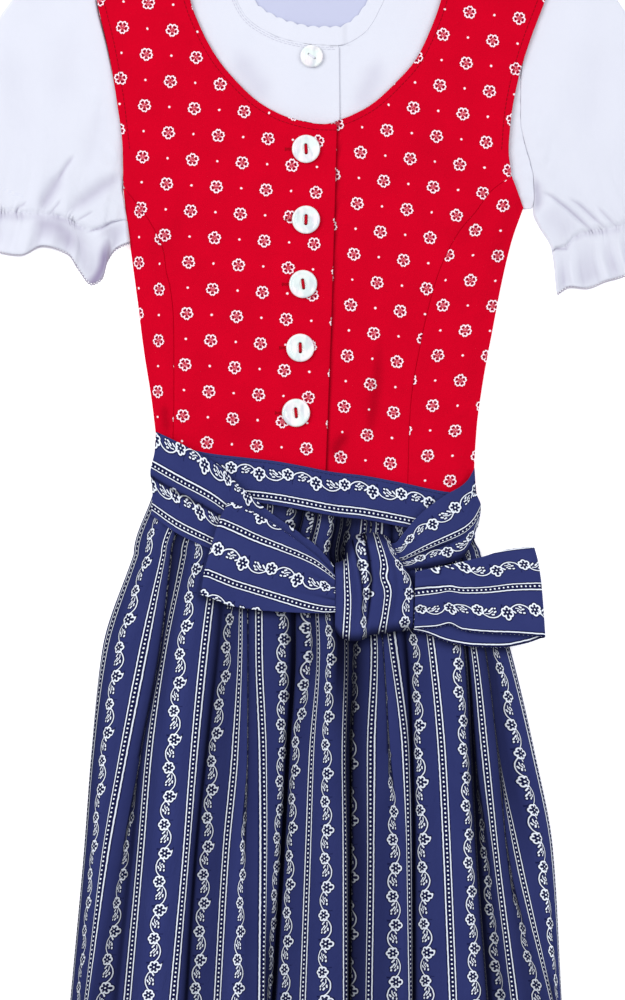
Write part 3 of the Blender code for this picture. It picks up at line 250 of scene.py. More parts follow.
LOOP_LEFT_TOP = [(13.2, -66), (1.5, -54), (-13.5, -42), (-29, -31), (-46, -21), (-58.5, -15.5)]
LOOP_LEFT_BOTTOM = [(13.6, -92.5), (5, -93), (-30, -91.7), (-56, -88.5), (-78, -80.5)]
LOOP_LEFT_TIP = [(-58.5, -15.5), (-64.5, -27), (-70.5, -47), (-75, -63), (-78, -80.5)]
LOOP_RIGHT_TOP = [(69.3, -64), (84, -61), (98, -58), (116.5, -53.5), (133, -48.5), (149.5, -46.5)]
LOOP_RIGHT_BOTTOM = [(68.6, -104), (84, -103), (93, -101), (102, -105), (120, -107), (138, -107.8),
                     (157.3, -109.2)]
LOOP_RIGHT_BACK = [(68.2, -105.5), (75.5, -107), (93, -113.5), (111, -116.5), (129, -117), (147, -114),
                   (157.3, -110.5)]
LOOP_RIGHT_TIP = [(149.5, -46.5), (152.3, -57.5), (154.4, -71.5), (155.8, -87.5), (157.3, -109.2)]
LOOP_RISE_AT_KNOT = 1.5
LOOP_RISE_AT_TIP = 4.6

KNOT_TOP = [(13.3, -58), (19.6, -55.5), (23.5, -45.5), (27, -39), (33.6, -37), (41.5, -36.7), (50, -39.5)]
KNOT_BOTTOM = [(13.2, -104.7), (18, -110.4), (24, -112.5), (29, -112.6), (35, -110.4), (39, -108.2),
               (46, -107.6), (55.3, -105.9), (64, -105.4), (67.9, -103.8)]
KNOT_LEFT = [(13.3, -58), (13.2, -80), (13.2, -104.7)]
KNOT_RIGHT = [(50, -39.5), (55, -48.5), (61, -59.5), (66, -69), (68.3, -80), (67.9, -103.8)]
KNOT_EDGE = 1.2
KNOT_HEIGHT = 9.0

BODICE_BUTTONS = [(-7, 231.5), (-7, 182), (-9, 137), (-11, 92.5), (-14, 47)]
BODICE_BUTTON_RADIUS = 9.8
BLOUSE_BUTTON = (-3, 296.8)
BLOUSE_BUTTON_RADIUS = 7.9

BODICE_LAP_WIDTH = 34.0
BODICE_LAP_STEP = 8.0
BODICE_UNDERLAP = 29.0
BLOUSE_LAP_WIDTH = 32.0
BLOUSE_LAP_STEP = 14.0
BLOUSE_UNDERLAP = 24.0

# The bodice's print: where one flower lies on each panel, and the way to the next ones beside and below it,
# in the photograph's pixels.
Print = namedtuple("Print", "origin across down")
PRINTS = {
    "bodice_front_left": Print((192.4, 159.6), (49.8, 3.0), (-1.9, 51.2)),
    "bodice_front_right": Print((430.0, 237.7), (49.6, 6.0), (-3.3, 50.8)),
    "bodice_side_left": Print((159.2, 289.3), (41.0, 3.0), (-0.7, 51.0)),
    "bodice_side_right": Print((443.0, 305.2), (49.7, 0.3), (-5.1, 50.1)),
}
FLOWER_ACROSS = 35.0  # pitch of the flowers along a row of the flat cloth
FLOWER_DOWN = 36.0

# Soft troughs and ridges along drawn lines: this wide and high in the middle and fading out at both ends
# (troughs are negative), and how much painted shade they lay on the cloth there.
Crease = namedtuple("Crease", "line width height shade")
CREASE_FADE = 0.35  # share of its length over which a crease fades out at each end
BODICE_CREASES = [
    Crease([(45, 106), (44, 88), (43.2, 71), (40.5, 52), (38.5, 38), (35.5, 18)], 3.8, -0.8, 0.3),
    Crease([(25, 34), (17, 27), (10.5, 14)], 4.0, -0.7, 0.4),
    Crease([(31, 112), (29, 75), (27, 38)], 9.0, 0.5, 0.0),
    Crease([(58, 105), (55, 60), (52, 18)], 8.0, 0.5, 0.0),
    Crease([(-106, 56), (-105.5, 44), (-103.5, 30)], 3.2, -0.9, 0.3),
    Crease([(-92, 75), (-88, 50), (-84, 26)], 9.0, 0.5, 0.0),
    Crease([(-122, 146), (-104, 168), (-86, 188)], 9.0, -0.6, 0.06),
    Crease([(-64, 44), (-50, 30), (-34, 20)], 10.0, -0.6, 0.08),
    Crease([(94, 156), (107, 178), (120, 199)], 8.0, -0.6, 0.06),
    Crease([(87, 25), (94, 75), (101, 125)], 10.0, 0.5, 0.0),
    Crease([(-42, 178), (-30, 135), (-18, 95)], 14.0, 0.4, 0.0),
    Crease([(68, 243), (85, 222), (102, 202)], 10.0, -0.5, 0.06),
    Crease([(-120, 244), (-109, 285), (-98, 325)], 9.0, 0.4, 0.0),
    Crease([(117, 224), (124, 270), (131, 315)], 9.0, 0.4, 0.0),
]


def smooth(share):
    """0 to 1 with level ends."""
    share = np.clip(share, 0.0, 1.0)
    return share * share * (3.0 - 2.0 * share)


def between(start, end, at, at_start, at_end):
    """start up to at_start, end from at_end, eased in between."""
    return start + (end - start) * smooth((at - at_start) / (at_end - at_start))


def through(knots, values, at):
    """A smooth curve through the values that never overshoots them."""
    knots, values = np.asarray(knots, float), np.asarray(values, float)
    steps = np.diff(knots)
    slopes = np.diff(values) / steps
    tangents = np.zeros(len(knots))
    for i in range(1, len(knots) - 1):
        if slopes[i - 1] * slopes[i] > 0:
            before, after = 2 * steps[i] + steps[i - 1], steps[i] + 2 * steps[i - 1]
            tangents[i] = (before + after) / (before / slopes[i - 1] + after / slopes[i])
    tangents[0], tangents[-1] = slopes[0], slopes[-1]
    at = np.clip(at, knots[0], knots[-1])
    i = np.clip(np.searchsorted(knots, at, side="right") - 1, 0, len(steps) - 1)
    h = steps[i]
    t = (at - knots[i]) / h
    rise = 3 * t**2 - 2 * t**3
    start, end = t - 2 * t**2 + t**3, t**3 - t**2
    return values[i] * (1 - rise) + values[i + 1] * rise + h * (tangents[i] * start + tangents[i + 1] * end)


def run_along(line):
    """Length run at each point of a line, from its start."""
    return np.concatenate([[0.0], np.cumsum(np.linalg.norm(np.diff(line, axis=0), axis=1))])


def along(points, shares):
    """Points at these shares of a curve's length, on a smooth curve through its points."""
    points = np.asarray(points, float)
    length = run_along(points)
    at = np.asarray(shares) * length[-1]
    return np.stack([through(length, points[:, 0], at), through(length, points[:, 1], at)], axis=-1)


def joined(first, second, share, shares):
    """Points along two stretches that meet at this share of the whole."""
    before = along(first, np.minimum(shares / share, 1.0))
    after = along(second, np.clip((shares - share) / (1.0 - share), 0.0, 1.0))
    return np.where((shares <= share)[:, None], before, after)


def patch(near, far, start, end, across, down):
    """Plan of a cloth between four edges: near and far run across it, start and end run down it."""
    near, far = along(near, across), along(far, across)
    start = along(start, down) if isinstance(start, list) else start.copy()
    end = along(end, down) if isinstance(end, list) else end.copy()
    start[0], start[-1], end[0], end[-1] = near[0], far[0], near[-1], far[-1]
    u, v = np.asarray(across)[None, :, None], np.asarray(down)[:, None, None]
    blend = (1 - v) * near[None] + v * far[None] + (1 - u) * start[:, None] + u * end[:, None]
    corners = (1 - u) * (1 - v) * near[0] + u * (1 - v) * near[-1] + (1 - u) * v * far[0] + u * v * far[-1]
    return blend - corners


def off_stretch(x, y, start, end):
    """Distance in plan from a straight stretch, and the share along it of the nearest place."""
    (ax, ay), (bx, by) = start, end
    run = (bx - ax) ** 2 + (by - ay) ** 2
    share = np.clip(((x - ax) * (bx - ax) + (y - ay) * (by - ay)) / run, 0, 1)
    return np.hypot(x - ax - share * (bx - ax), y - ay - share * (by - ay)), share


def distance_to(line, x, y):
    """Distance in plan from each point to a polyline."""
    nearest = np.full(np.shape(x), np.inf)
    for start, end in zip(line, line[1:]):
        nearest = np.minimum(nearest, off_stretch(x, y, start, end)[0])
    return nearest


def side_share(x, y):
    left = distance_to(SKIRT_LEFT[::-1] + SIDE_LEFT[1:], x, y)
    right = distance_to(SKIRT_RIGHT[::-1] + SIDE_RIGHT[1:], x, y)
    return smooth(np.minimum(left, right) / SIDE_ROLL)


def bodice_front_z(x, y):
    level = between(WAIST_Z, CHEST_Z, y, CHEST_FROM_Y, CHEST_TO_Y)
    share = side_share(x, y) * smooth((SHOULDER_Y - y) / SHOULDER_ROLL)
    return SIDE_SEAM_Z + (level - SIDE_SEAM_Z) * share


def lap_edge_x(y):
    edge = np.asarray(LAP_EDGE)
    return np.interp(y, edge[:, 1], edge[:, 0])


def bodice_lap(x, y):
    return between(BODICE_LAP, 0, lap_edge_x(y) - x, BODICE_LAP_WIDTH, BODICE_LAP_WIDTH + BODICE_LAP_STEP)


def blouse_lap(x):
    return between(BLOUSE_LAP, 0, BLOUSE_PLACKET_X - x, BLOUSE_LAP_WIDTH, BLOUSE_LAP_WIDTH + BLOUSE_LAP_STEP)


def skirt_front_z(x, y):
    level = between(WAIST_Z, SKIRT_Z, y, SKIRT_FROM_Y, SKIRT_TO_Y)
    ripple = between(0, RIPPLE, y, RIPPLE_FROM_Y, RIPPLE_TO_Y) * (1 + np.sin(2 * np.pi * x / RIPPLE_PITCH))
    ripple *= side_share(x, y)
    return SIDE_SEAM_Z + (level - SIDE_SEAM_Z) * side_share(x, y) + ripple


def band_z(x, y):
    edge = lap_edge_x(BAND_LAP_Y)
    lap = bodice_lap(x, BAND_LAP_Y) * between(1, 0, x, edge + 1.0, edge + 1.0 + BODICE_LAP_STEP)
    level = WAIST_Z + BODICE_WALL + BAND_CLEARANCE
    side = SIDE_SEAM_Z + BODICE_WALL + BAND_CLEARANCE
    return side + (level + lap - side) * side_share(x, y)


def tie_z(x):
    edge = band_z(BAND_LEFT_X, 0.0) + BAND_WALL + BAND_CLEARANCE
    inside = np.minimum(x - BAND_LEFT_X, BAND_RIGHT_X - x) + 2.0
    return between(edge, TIE_Z, inside, 0, TIE_ROLL)


def moved(points, dx=0.0, dy=0.0):
    return [(x + dx, y + dy) for x, y in points]


def waist_stretch(start, end, dy):
    seam = np.asarray(WAIST_SEAM, float)
    return [(x, float(through(seam[:, 0], seam[:, 1], x)) + dy) for x in np.linspace(start, end, 13)]


def nearness(crease, x, y):
    """1 on a crease's line, 0 away from it, narrowing to nothing at both ends."""
    line = along(crease.line, np.linspace(0, 1, 4 * len(crease.line)))
    run = run_along(line)
    nearest, at = np.full(np.shape(x), np.inf), np.zeros(np.shape(x))
    for i in range(len(line) - 1):
        away, share = off_stretch(x, y, line[i], line[i + 1])
        at = np.where(away < nearest, (run[i] + share * (run[i + 1] - run[i])) / run[-1], at)
        nearest = np.minimum(nearest, away)
    full = smooth(np.minimum(at, 1 - at) / CREASE_FADE)
    return full * np.exp(-((nearest / (crease.width * (0.5 + 0.5 * full))) ** 2))


def creased(creases, x, y):
    """Height that the soft troughs and ridges add, and the painted shade that they lay in the colour."""
    height, shade = np.zeros(np.shape(x)), np.zeros(np.shape(x))
    for crease in creases:
        near = nearness(crease, x, y)
        height += crease.height * near
        shade = 1 - (1 - shade) * (1 - crease.shade * near)
    return height, shade


def wave(turns, phase=0.0):
    """Sine of an angle given in turns, with a phase in radians."""
    return np.sin(2 * np.pi * turns + phase)


def unevenness(x, y, seed, height, pitch):
    """A gentle random swell, the same each run."""
    random = np.random.default_rng(seed)
    total = np.zeros(np.shape(x))
    for _ in range(9):
        turn, phase = random.uniform(0, 2 * np.pi, 2)
        length = pitch * random.uniform(0.6, 1.7)
        total += np.sin(2 * np.pi * (x * np.cos(turn) + y * np.sin(turn)) / length + phase)
    return height * total / 3.0


def shares(length, pitch, border=1.0):
    """Shares of a length a pitch apart, closer together over the rounded border at both ends."""
    near = np.array((0.0, 0.08, 0.3, 0.62)) * border / length
    inner = np.linspace(border / length, 1 - border / length, max(2, round(length / pitch)))
    return np.concatenate([near, inner, 1 - near[::-1]])


def to_world(points):
    """Metres in the frame, from plan millimetres."""
    placed = np.array(points, float)
    placed[..., :2] -= PLAN_CENTRE
    return placed * MM


def linked(name, data):
    """A new object in the scene for a mesh, a light or a camera."""
    made = bpy.data.objects.new(name, data)
    bpy.context.scene.collection.objects.link(made)
    return made


def run_lengths(points, axis):
    """Length run along a grid's lines."""
    steps = np.linalg.norm(np.diff(points, axis=axis), axis=-1)
    start = np.zeros_like(np.take(steps, [0], axis=axis))
    return np.concatenate([start, np.cumsum(steps, axis=axis)], axis=axis)


def edge_distance(points, around):
    """Distance of a grid's points from its free edges; a grid that runs around has two."""
    down = run_lengths(points, 0)
    nearest = np.minimum(down, down[-1:] - down)
    if around:
        return nearest
    across = run_lengths(points, 1)
    return np.minimum(nearest, np.minimum(across, across[:, -1:] - across))


def grid_normals(points, around):
    if around:
        ring = points[:, :-1]
        across = np.roll(ring, -1, axis=1) - np.roll(ring, 1, axis=1)
        across = np.concatenate([across, across[:, :1]], axis=1)
    else:
        across = np.gradient(points, axis=1)
    down = np.gradient(points, axis=0)
    normal = np.cross(across, down)
    return normal / np.maximum(np.linalg.norm(normal, axis=-1, keepdims=True), 1e-9)


def mesh_object(name, vertices, faces, uvs, material, painted_shade):
    """An object from arrays: vertices in plan millimetres, faces, a uv in millimetres for each corner, and
    painted shade for each vertex, kept as fold_shade, that darkens its colour where a fold hides it.
    """
    used, faces = np.unique(faces, return_inverse=True)
    faces = faces.reshape(-1, 4)
    mesh = bpy.data.meshes.new(name)
    mesh.from_pydata(to_world(vertices[used]).tolist(), [], faces.tolist())
    layer = mesh.uv_layers.new(name="Cloth")
    layer.data.foreach_set("uv", (uvs.reshape(-1, 2) * MM).astype(np.float32).ravel())
    shade = mesh.attributes.new("fold_shade", "FLOAT", "POINT")
    shade.data.foreach_set("value", painted_shade[used].astype(np.float32))
    mesh.materials.append(material)
    mesh.shade_smooth()
    mesh.update()
    return linked(name, mesh)


def grid_quads(rows, columns):
    corner = np.arange(rows * columns).reshape(rows, columns)
    quads = np.stack([corner[:-1, :-1], corner[:-1, 1:], corner[1:, 1:], corner[1:, :-1]], axis=-1)
    return quads.reshape(-1, 4)


def shell(name, points, wall, uv, material, around=False, border=0.6, upright=False, painted_shade=0.0):
    """A closed shell of cloth round a grid of points at mid-wall, its free edges rounded over the border."""
    rows, columns = points.shape[:2]
    normal = grid_normals(points, around)
    turned = upright and normal[..., 2].mean() < 0
    if upright:
        normal = np.zeros_like(points)
        normal[..., 2] = 1.0
    share = np.clip(edge_distance(points, around) / border, 0, 1)
    half = np.broadcast_to(wall, (rows, columns)) / 2 * np.sqrt(1 - (1 - share) ** 2)
    above = points + normal * half[..., None]
    below = points - normal * half[..., None]
    number = np.arange(rows * columns).reshape(rows, columns)
    if around:
        number[:, -1] = number[:, 0]
    under = np.where(share <= 0, number, number + rows * columns)
    quads = grid_quads(rows, columns)
    faces = np.concatenate([number.ravel()[quads], under.ravel()[quads[:, ::-1]]])
    corner_uv = np.concatenate([uv.reshape(-1, 2)[quads], uv.reshape(-1, 2)[quads[:, ::-1]]])
    vertices = np.concatenate([above.reshape(-1, 3), below.reshape(-1, 3)])
    if turned:
        faces, corner_uv = faces[:, ::-1], corner_uv[:, ::-1]
    # painted shade, the same on the vertices above and below
    shade = np.tile(np.broadcast_to(painted_shade, (rows, columns)).ravel(), 2)
    return mesh_object(name, vertices, faces, corner_uv, material, shade)


def hollow(points, reach):
    """How deep each point lies under the mean height of its row nearby."""
    run = run_lengths(points, 1)
    widths = np.gradient(run, axis=1)
    result = np.empty(points.shape[:2])
    for row in range(len(points)):
        near = np.exp(-(((run[row][:, None] - run[row][None]) / reach) ** 2)) * widths[row]
        result[row] = near @ points[row, :, 2] / near.sum(axis=1) - points[row, :, 2]
    return result


def with_height(plan, height):
    return np.concatenate([plan, np.broadcast_to(height, plan.shape[:2])[..., None]], axis=-1)


def from_pixel(x, y):
    return np.array(((x - WAIST_PIXEL[0]) * PIXEL, (WAIST_PIXEL[1] - y) * PIXEL))


def print_uv(plan, panel):
    """Coordinates of the flat printed cloth on one panel."""
    laid = PRINTS[panel]
    across = np.array((laid.across[0], -laid.across[1])) * PIXEL / FLOWER_ACROSS
    down = np.array((laid.down[0], -laid.down[1])) * PIXEL / FLOWER_DOWN
    away = (plan - from_pixel(*laid.origin)).reshape(-1, 2).T
    flat = np.linalg.solve(np.stack([across, down], axis=1), away)
    return (flat * np.array((1.0, -1.0))[:, None]).T.reshape(plan.shape)


class Shader:
    """A material's node tree, with short calls for the arithmetic of its patterns."""

    def __init__(self, name):
        self.material = bpy.data.materials.new(name)
        self.material.use_nodes = True
        self.tree = self.material.node_tree
        self.surface = self.tree.nodes["Principled BSDF"]

    def link(self, value, socket):
        if isinstance(value, bpy.types.NodeSocket):
            self.tree.links.new(value, socket)
        else:
            socket.default_value = value

    def math(self, operation, *values, clamp=False):
        node = self.tree.nodes.new("ShaderNodeMath")
        node.operation = operation
        node.use_clamp = clamp
        for value, socket in zip(values, node.inputs):
            self.link(value, socket)
        return node.outputs[0]

    def vector(self, operation, *values):
        node = self.tree.nodes.new("ShaderNodeVectorMath")
        node.operation = operation
        for value, socket in zip(values, node.inputs):
            self.link(value, socket)
        scalar = operation in ("DOT_PRODUCT", "LENGTH", "DISTANCE")
        return node.outputs["Value" if scalar else "Vector"]

    def combine(self, x, y):
        node = self.tree.nodes.new("ShaderNodeCombineXYZ")
        self.link(x, node.inputs[0])
        self.link(y, node.inputs[1])
        return node.outputs[0]

    def separate(self, vector):
        node = self.tree.nodes.new("ShaderNodeSeparateXYZ")
        self.link(vector, node.inputs[0])
        return node.outputs[0], node.outputs[1]

    def least(self, *values):
        result = values[0]
        for value in values[1:]:
            result = self.math("MINIMUM", result, value)
        return result

    def from_middle(self, value, pitch):
        """Distance along a repeat from its nearest middle, and that middle's number."""
        share = self.math("DIVIDE", value, pitch)
        number = self.math("ROUND", share)
        return self.math("MULTIPLY", self.math("SUBTRACT", share, number), pitch), number

    def fade(self, value, whole, nothing):
        """1 at whole and beyond, 0 at nothing, eased in between."""
        node = self.tree.nodes.new("ShaderNodeMapRange")
        node.interpolation_type = "SMOOTHSTEP"
        self.link(value, node.inputs["Value"])
        low, high = min(whole, nothing), max(whole, nothing)
        node.inputs["From Min"].default_value = low
        node.inputs["From Max"].default_value = high
        node.inputs["To Min"].default_value = 1.0 if whole < nothing else 0.0
        node.inputs["To Max"].default_value = 0.0 if whole < nothing else 1.0
        return node.outputs["Result"]

    def mix(self, share, first, second):
        node = self.tree.nodes.new("ShaderNodeMix")
        node.data_type = "RGBA"
        self.link(share, node.inputs[0])
        for value, socket in ((first, node.inputs[6]), (second, node.inputs[7])):
            self.link(value if isinstance(value, bpy.types.NodeSocket) else (*value, 1.0), socket)
        return node.outputs[2]

    def noise(self, vector, scale, detail=2.0, roughness=0.5):
        node = self.tree.nodes.new("ShaderNodeTexNoise")
        self.link(vector, node.inputs["Vector"])
        node.inputs["Scale"].default_value = scale
        node.inputs["Detail"].default_value = detail
        node.inputs["Roughness"].default_value = roughness
        return node.outputs["Fac"], node.outputs["Color"]

    def with_painted_shade(self, colour, shadow):
        """The colour, darkened towards the shadow colour by the painted shade in the fold_shade attribute."""
        node = self.tree.nodes.new("ShaderNodeAttribute")
        node.attribute_name = "fold_shade"
        return self.mix(node.outputs["Fac"], colour, shadow)

    def cloth_millimetres(self):
        """Place on the flat cloth, in millimetres."""
        node = self.tree.nodes.new("ShaderNodeUVMap")
        node.uv_map = "Cloth"
        return self.vector("MULTIPLY", node.outputs[0], (1 / MM, 1 / MM, 0.0))

    def object_millimetres(self):
        """Place on the object, in millimetres."""
        coordinates = self.tree.nodes.new("ShaderNodeTexCoord").outputs["Object"]
        return self.vector("MULTIPLY", coordinates, (1 / MM, 1 / MM, 1 / MM))

    def wobbled(self, place, scale, reach):
        """A place moved a little, so that printed lines are not perfectly even."""
        wobble = self.vector("SUBTRACT", self.noise(place, scale, 1.0)[1], (0.5, 0.5, 0.5))
        return self.vector("MULTIPLY_ADD", wobble, (reach, reach, 0.0), place)

    def choose(self, share, first, second):
        """The first number where the share is 0, the second where it is 1."""
        node = self.tree.nodes.new("ShaderNodeMix")
        self.link(share, node.inputs[0])
        self.link(first, node.inputs[2])
        self.link(second, node.inputs[3])
        return node.outputs[0]

    def bump(self, height, distance):
        """Raises the surface by this share of a distance in metres."""
        node = self.tree.nodes.new("ShaderNodeBump")
        node.inputs["Distance"].default_value = distance
        self.link(height, node.inputs["Height"])
        self.link(node.outputs[0], self.surface.inputs["Normal"])

    def finish(self, values):
        """Sets or links the surface's own sockets, and gives the finished material."""
        for name, value in values.items():
            self.link(value, self.surface.inputs[name])
        return self.material

    def segment(self, place, start, end):
        """Distance from a stretch of line on the flat cloth."""
        (ax, ay), (bx, by) = start, end
        if start == end:
            return self.vector("DISTANCE", place, (ax, ay, 0.0))
        run = (bx - ax) ** 2 + (by - ay) ** 2
        away = self.vector("SUBTRACT", place, (ax, ay, 0.0))
        share = self.vector("DOT_PRODUCT", away, ((bx - ax) / run, (by - ay) / run, 0.0))
        share = self.math("MULTIPLY", share, 1.0, clamp=True)
        return self.vector("LENGTH", self.vector("MULTIPLY_ADD", share, (ax - bx, ay - by, 0.0), away))

    def petals(self, x, y, count):
        """Place folded into one petal, whose middle line is the first coordinate."""
        angle = self.math("ARCTAN2", y, x)
        turned = self.from_middle(angle, 2 * math.pi / count)[0]
        far = self.vector("LENGTH", self.combine(x, y))
        out = self.math("MULTIPLY", far, self.math("COSINE", turned))
        aside = self.math("MULTIPLY", far, self.math("SINE", turned))
        return self.combine(out, aside), far


def plain_weave(shader, place, pitch):
    """Height of a plain weave: threads over and under each other."""
    turn = 2 * math.pi / pitch
    x, y = shader.separate(place)
    warp = shader.math("SINE", shader.math("MULTIPLY", x, turn))
    weft = shader.math("SINE", shader.math("MULTIPLY", y, turn))
    return shader.math("MULTIPLY", warp, weft)


def finish_cloth(shader, place, colour, pitch, relief, crumple, sheen, sheen_tint, roughness=0.82):
    """Weave and crumple as bump, uneven roughness, and the sheen of cotton's short fibres."""
    weave = plain_weave(shader, place, pitch)
    fibres = shader.noise(place, 1.7, 3.0)[0]
    soft = shader.noise(place, 0.11, 3.0, 0.55)[0]
    height = shader.math("MULTIPLY_ADD", weave, relief, shader.math("MULTIPLY", fibres, relief * 1.6))
    shader.bump(shader.math("MULTIPLY_ADD", soft, crumple, height), MM)
    return shader.finish({
        "Base Color": colour,
        "Roughness": shader.math("MULTIPLY_ADD", fibres, 0.12, roughness - 0.06),
        "Sheen Weight": sheen,
        "Sheen Roughness": 0.5,
        "Sheen Tint": (*sheen_tint, 1.0),
        "Specular IOR Level": 0.03,
    })


# The bodice's flowers on the flat cloth: their petals and the notches in the petals' tips are circles, each
# this far from the flower's middle and with this radius.
PETALS = 5
PETAL_MIDDLE, PETAL_RADIUS = 2.72, 1.68
NOTCH_MIDDLE, NOTCH_RADIUS = 4.75, 0.95
BLOB_MIDDLE = 2.7
UPRIGHT_SHARE = 0.66  # share of the flowers that stand one way; the rest are turned over
RED_DEEP, RED_PALE = (0.555, 0.0002, 0.014), (0.675, 0.0003, 0.018)
# The third colour on the next line is the painted shade that folds darken the red towards.
RED_HALO, RED_BLOB, RED_IN_SHADE = (0.25, 0.0, 0.006), (0.18, 0.0, 0.02), (0.09, 0.0, 0.003)
RED_HEART, RED_INK = (0.86, 0.28, 0.36), (1.0, 0.90, 0.95)


def nearest_flower(shader, x, y, shift):
    """Place from the nearest flower's middle on a staggered repeat, and the flower's two numbers."""
    s, t = shader.math("DIVIDE", x, FLOWER_ACROSS), shader.math("DIVIDE", y, FLOWER_DOWN)
    rising, falling = shader.math("ADD", s, t), shader.math("SUBTRACT", s, t)
    i, row = shader.from_middle(shader.math("ADD", rising, shift), 1.0)
    j, column = shader.from_middle(shader.math("ADD", falling, shift), 1.0)
    away_x = shader.math("MULTIPLY", shader.math("ADD", i, j), FLOWER_ACROSS / 2)
    away_y = shader.math("MULTIPLY", shader.math("SUBTRACT", i, j), FLOWER_DOWN / 2)
    return away_x, away_y, row, column


def red_print():
    """Red cotton with small five-petalled flowers and dots between them."""
    shader = Shader("red_print")
    place = shader.cloth_millimetres()
    drawn = shader.wobbled(place, 0.45, 0.7)
    x, y = shader.separate(drawn)
    away_x, away_y, row, column = nearest_flower(shader, x, y, 0.0)
    dot_x, dot_y = nearest_flower(shader, x, y, 0.5)[:2]
    chance = shader.tree.nodes.new("ShaderNodeTexWhiteNoise")
    chance.noise_dimensions = "2D"
    shader.link(shader.combine(row, column), chance.inputs["Vector"])
    turned = shader.math("GREATER_THAN", chance.outputs["Value"], UPRIGHT_SHARE)
    way = shader.math("MULTIPLY_ADD", turned, 2.0, -1.0)
    up = shader.math("MULTIPLY", away_y, way)
    aside = shader.math("MULTIPLY", away_x, way)
    petal, far = shader.petals(up, aside, PETALS)
    edge = shader.math("SUBTRACT", shader.vector("DISTANCE", petal, (PETAL_MIDDLE, 0.0, 0.0)), PETAL_RADIUS)
    from_notch = shader.vector("DISTANCE", petal, (NOTCH_MIDDLE, 0.0, 0.0))
    notch = shader.math("SUBTRACT", NOTCH_RADIUS, from_notch)
    edge = shader.math("MAXIMUM", edge, notch)
    outline = shader.fade(shader.math("ABSOLUTE", edge), 0.24, 0.52)
    outside_heart = shader.fade(far, 2.1, 1.6)
    from_blob = shader.vector("SUBTRACT", petal, (BLOB_MIDDLE, 0.0, 0.0))
    from_blob = shader.vector("MULTIPLY", from_blob, (0.8, 1.15, 1.0))
    blob = shader.fade(shader.vector("LENGTH", from_blob), 0.45, 0.95)
    speckle = shader.fade(shader.noise(drawn, 1.1, 1.0)[0], 0.58, 0.45)
    heart = shader.math("MULTIPLY", shader.fade(far, 1.5, 2.2), speckle)
    dot = shader.fade(shader.vector("LENGTH", shader.combine(dot_x, dot_y)), 0.55, 1.0)
    halo = shader.fade(edge, 0.9, 1.5)
    ground = shader.mix(shader.noise(place, 0.035, 3.0)[0], RED_DEEP, RED_PALE)
    ground = shader.mix(shader.math("MULTIPLY", halo, 0.25), ground, RED_HALO)
    colour = shader.mix(blob, ground, RED_BLOB)
    colour = shader.mix(shader.math("MULTIPLY", heart, 0.8), colour, RED_HEART)
    white = shader.math("MAXIMUM", shader.math("MULTIPLY", outline, outside_heart), dot)
    # painted shade: the print darkens towards deep red where a fold lies in shade
    colour = shader.with_painted_shade(shader.mix(white, colour, RED_INK), RED_IN_SHADE)
    return finish_cloth(shader, place, colour, 0.55, 0.05, 0.9, 0.01, (1.0, 0.05, 0.1))


# The dotted stripes on the flat cloth: two lines with dots between them.
LINE_FROM_MIDDLE, LINE_HALF_WIDTH = 2.25, 0.39
DOT_PITCH, DOT_RADIUS = 3.1, 0.63

# The vine between the dotted stripes, on the flat cloth: u across the stripe, v along it from one large
# flower to the next. A stem is an arc: its middle, its radius, how far it reaches along the stripe, and its
# side. A stalk or a leaf is a short stretch of line.
VINE_PERIOD = 39.7
LARGE_FLOWER = (1.0, 0.0)
SMALL_FLOWER = (-1.0, 20.0)
STEMS = [((-3.6, 10.5), 8.1, 6.9, 1.0), ((4.0, 30.4), 8.2, 6.4, -1.0)]
LEAF_STALKS = [((1.6, 15.0), (1.7, 12.8)), ((1.7, 12.8), (-0.2, 9.9)), ((-1.7, 33.4), (-1.5, 31.6)),
               ((-1.5, 31.6), (-0.2, 29.8))]
LEAVES = [((-2.1, 7.9), (-2.0, 8.3)), ((-2.2, 9.8), (-1.5, 10.8)), ((-0.7, 11.6), (0.1, 12.6)),
          ((0.2, 7.9), (0.9, 8.9)), ((2.3, 9.6), (2.3, 10.8)), ((-1.5, 13.8), (-0.3, 15.3)),
          ((-2.1, 16.6), (-1.5, 16.8)), ((-1.0, 27.9), (-0.9, 28.9)), ((1.4, 27.6), (1.5, 28.3)),
          ((-2.9, 30.6), (-2.2, 29.5)), ((1.0, 31.2), (1.3, 30.1)), ((-0.1, 32.0), (0.0, 32.2)),
          ((0.5, 35.2), (1.3, 34.0))]

STEM_HALF_WIDTH, STALK_HALF_WIDTH, LEAF_HALF_WIDTH, OUTLINE_HALF_WIDTH = 0.37, 0.3, 0.51, 0.5
NAVY_DEEP, NAVY_PALE = (0.026, 0.034, 0.134), (0.038, 0.048, 0.166)
# The second colour on the next line is the painted shade that folds darken the navy towards.
NAVY_BESIDE_INK, NAVY_IN_SHADE = (0.003, 0.004, 0.036), (0.001, 0.001, 0.006)
NAVY_INK = (0.89, 0.94, 1.0)


def dotted_stripe(shader, u, v):
    """Distance from the ink of two lines with dots between them."""
    line = shader.math("ABSOLUTE", shader.math("SUBTRACT", shader.math("ABSOLUTE", u), LINE_FROM_MIDDLE))
    line = shader.math("SUBTRACT", line, LINE_HALF_WIDTH)
    dot_v = shader.from_middle(v, DOT_PITCH)[0]
    dot = shader.math("SUBTRACT", shader.vector("LENGTH", shader.combine(u, dot_v)), DOT_RADIUS)
    return shader.least(line, dot)


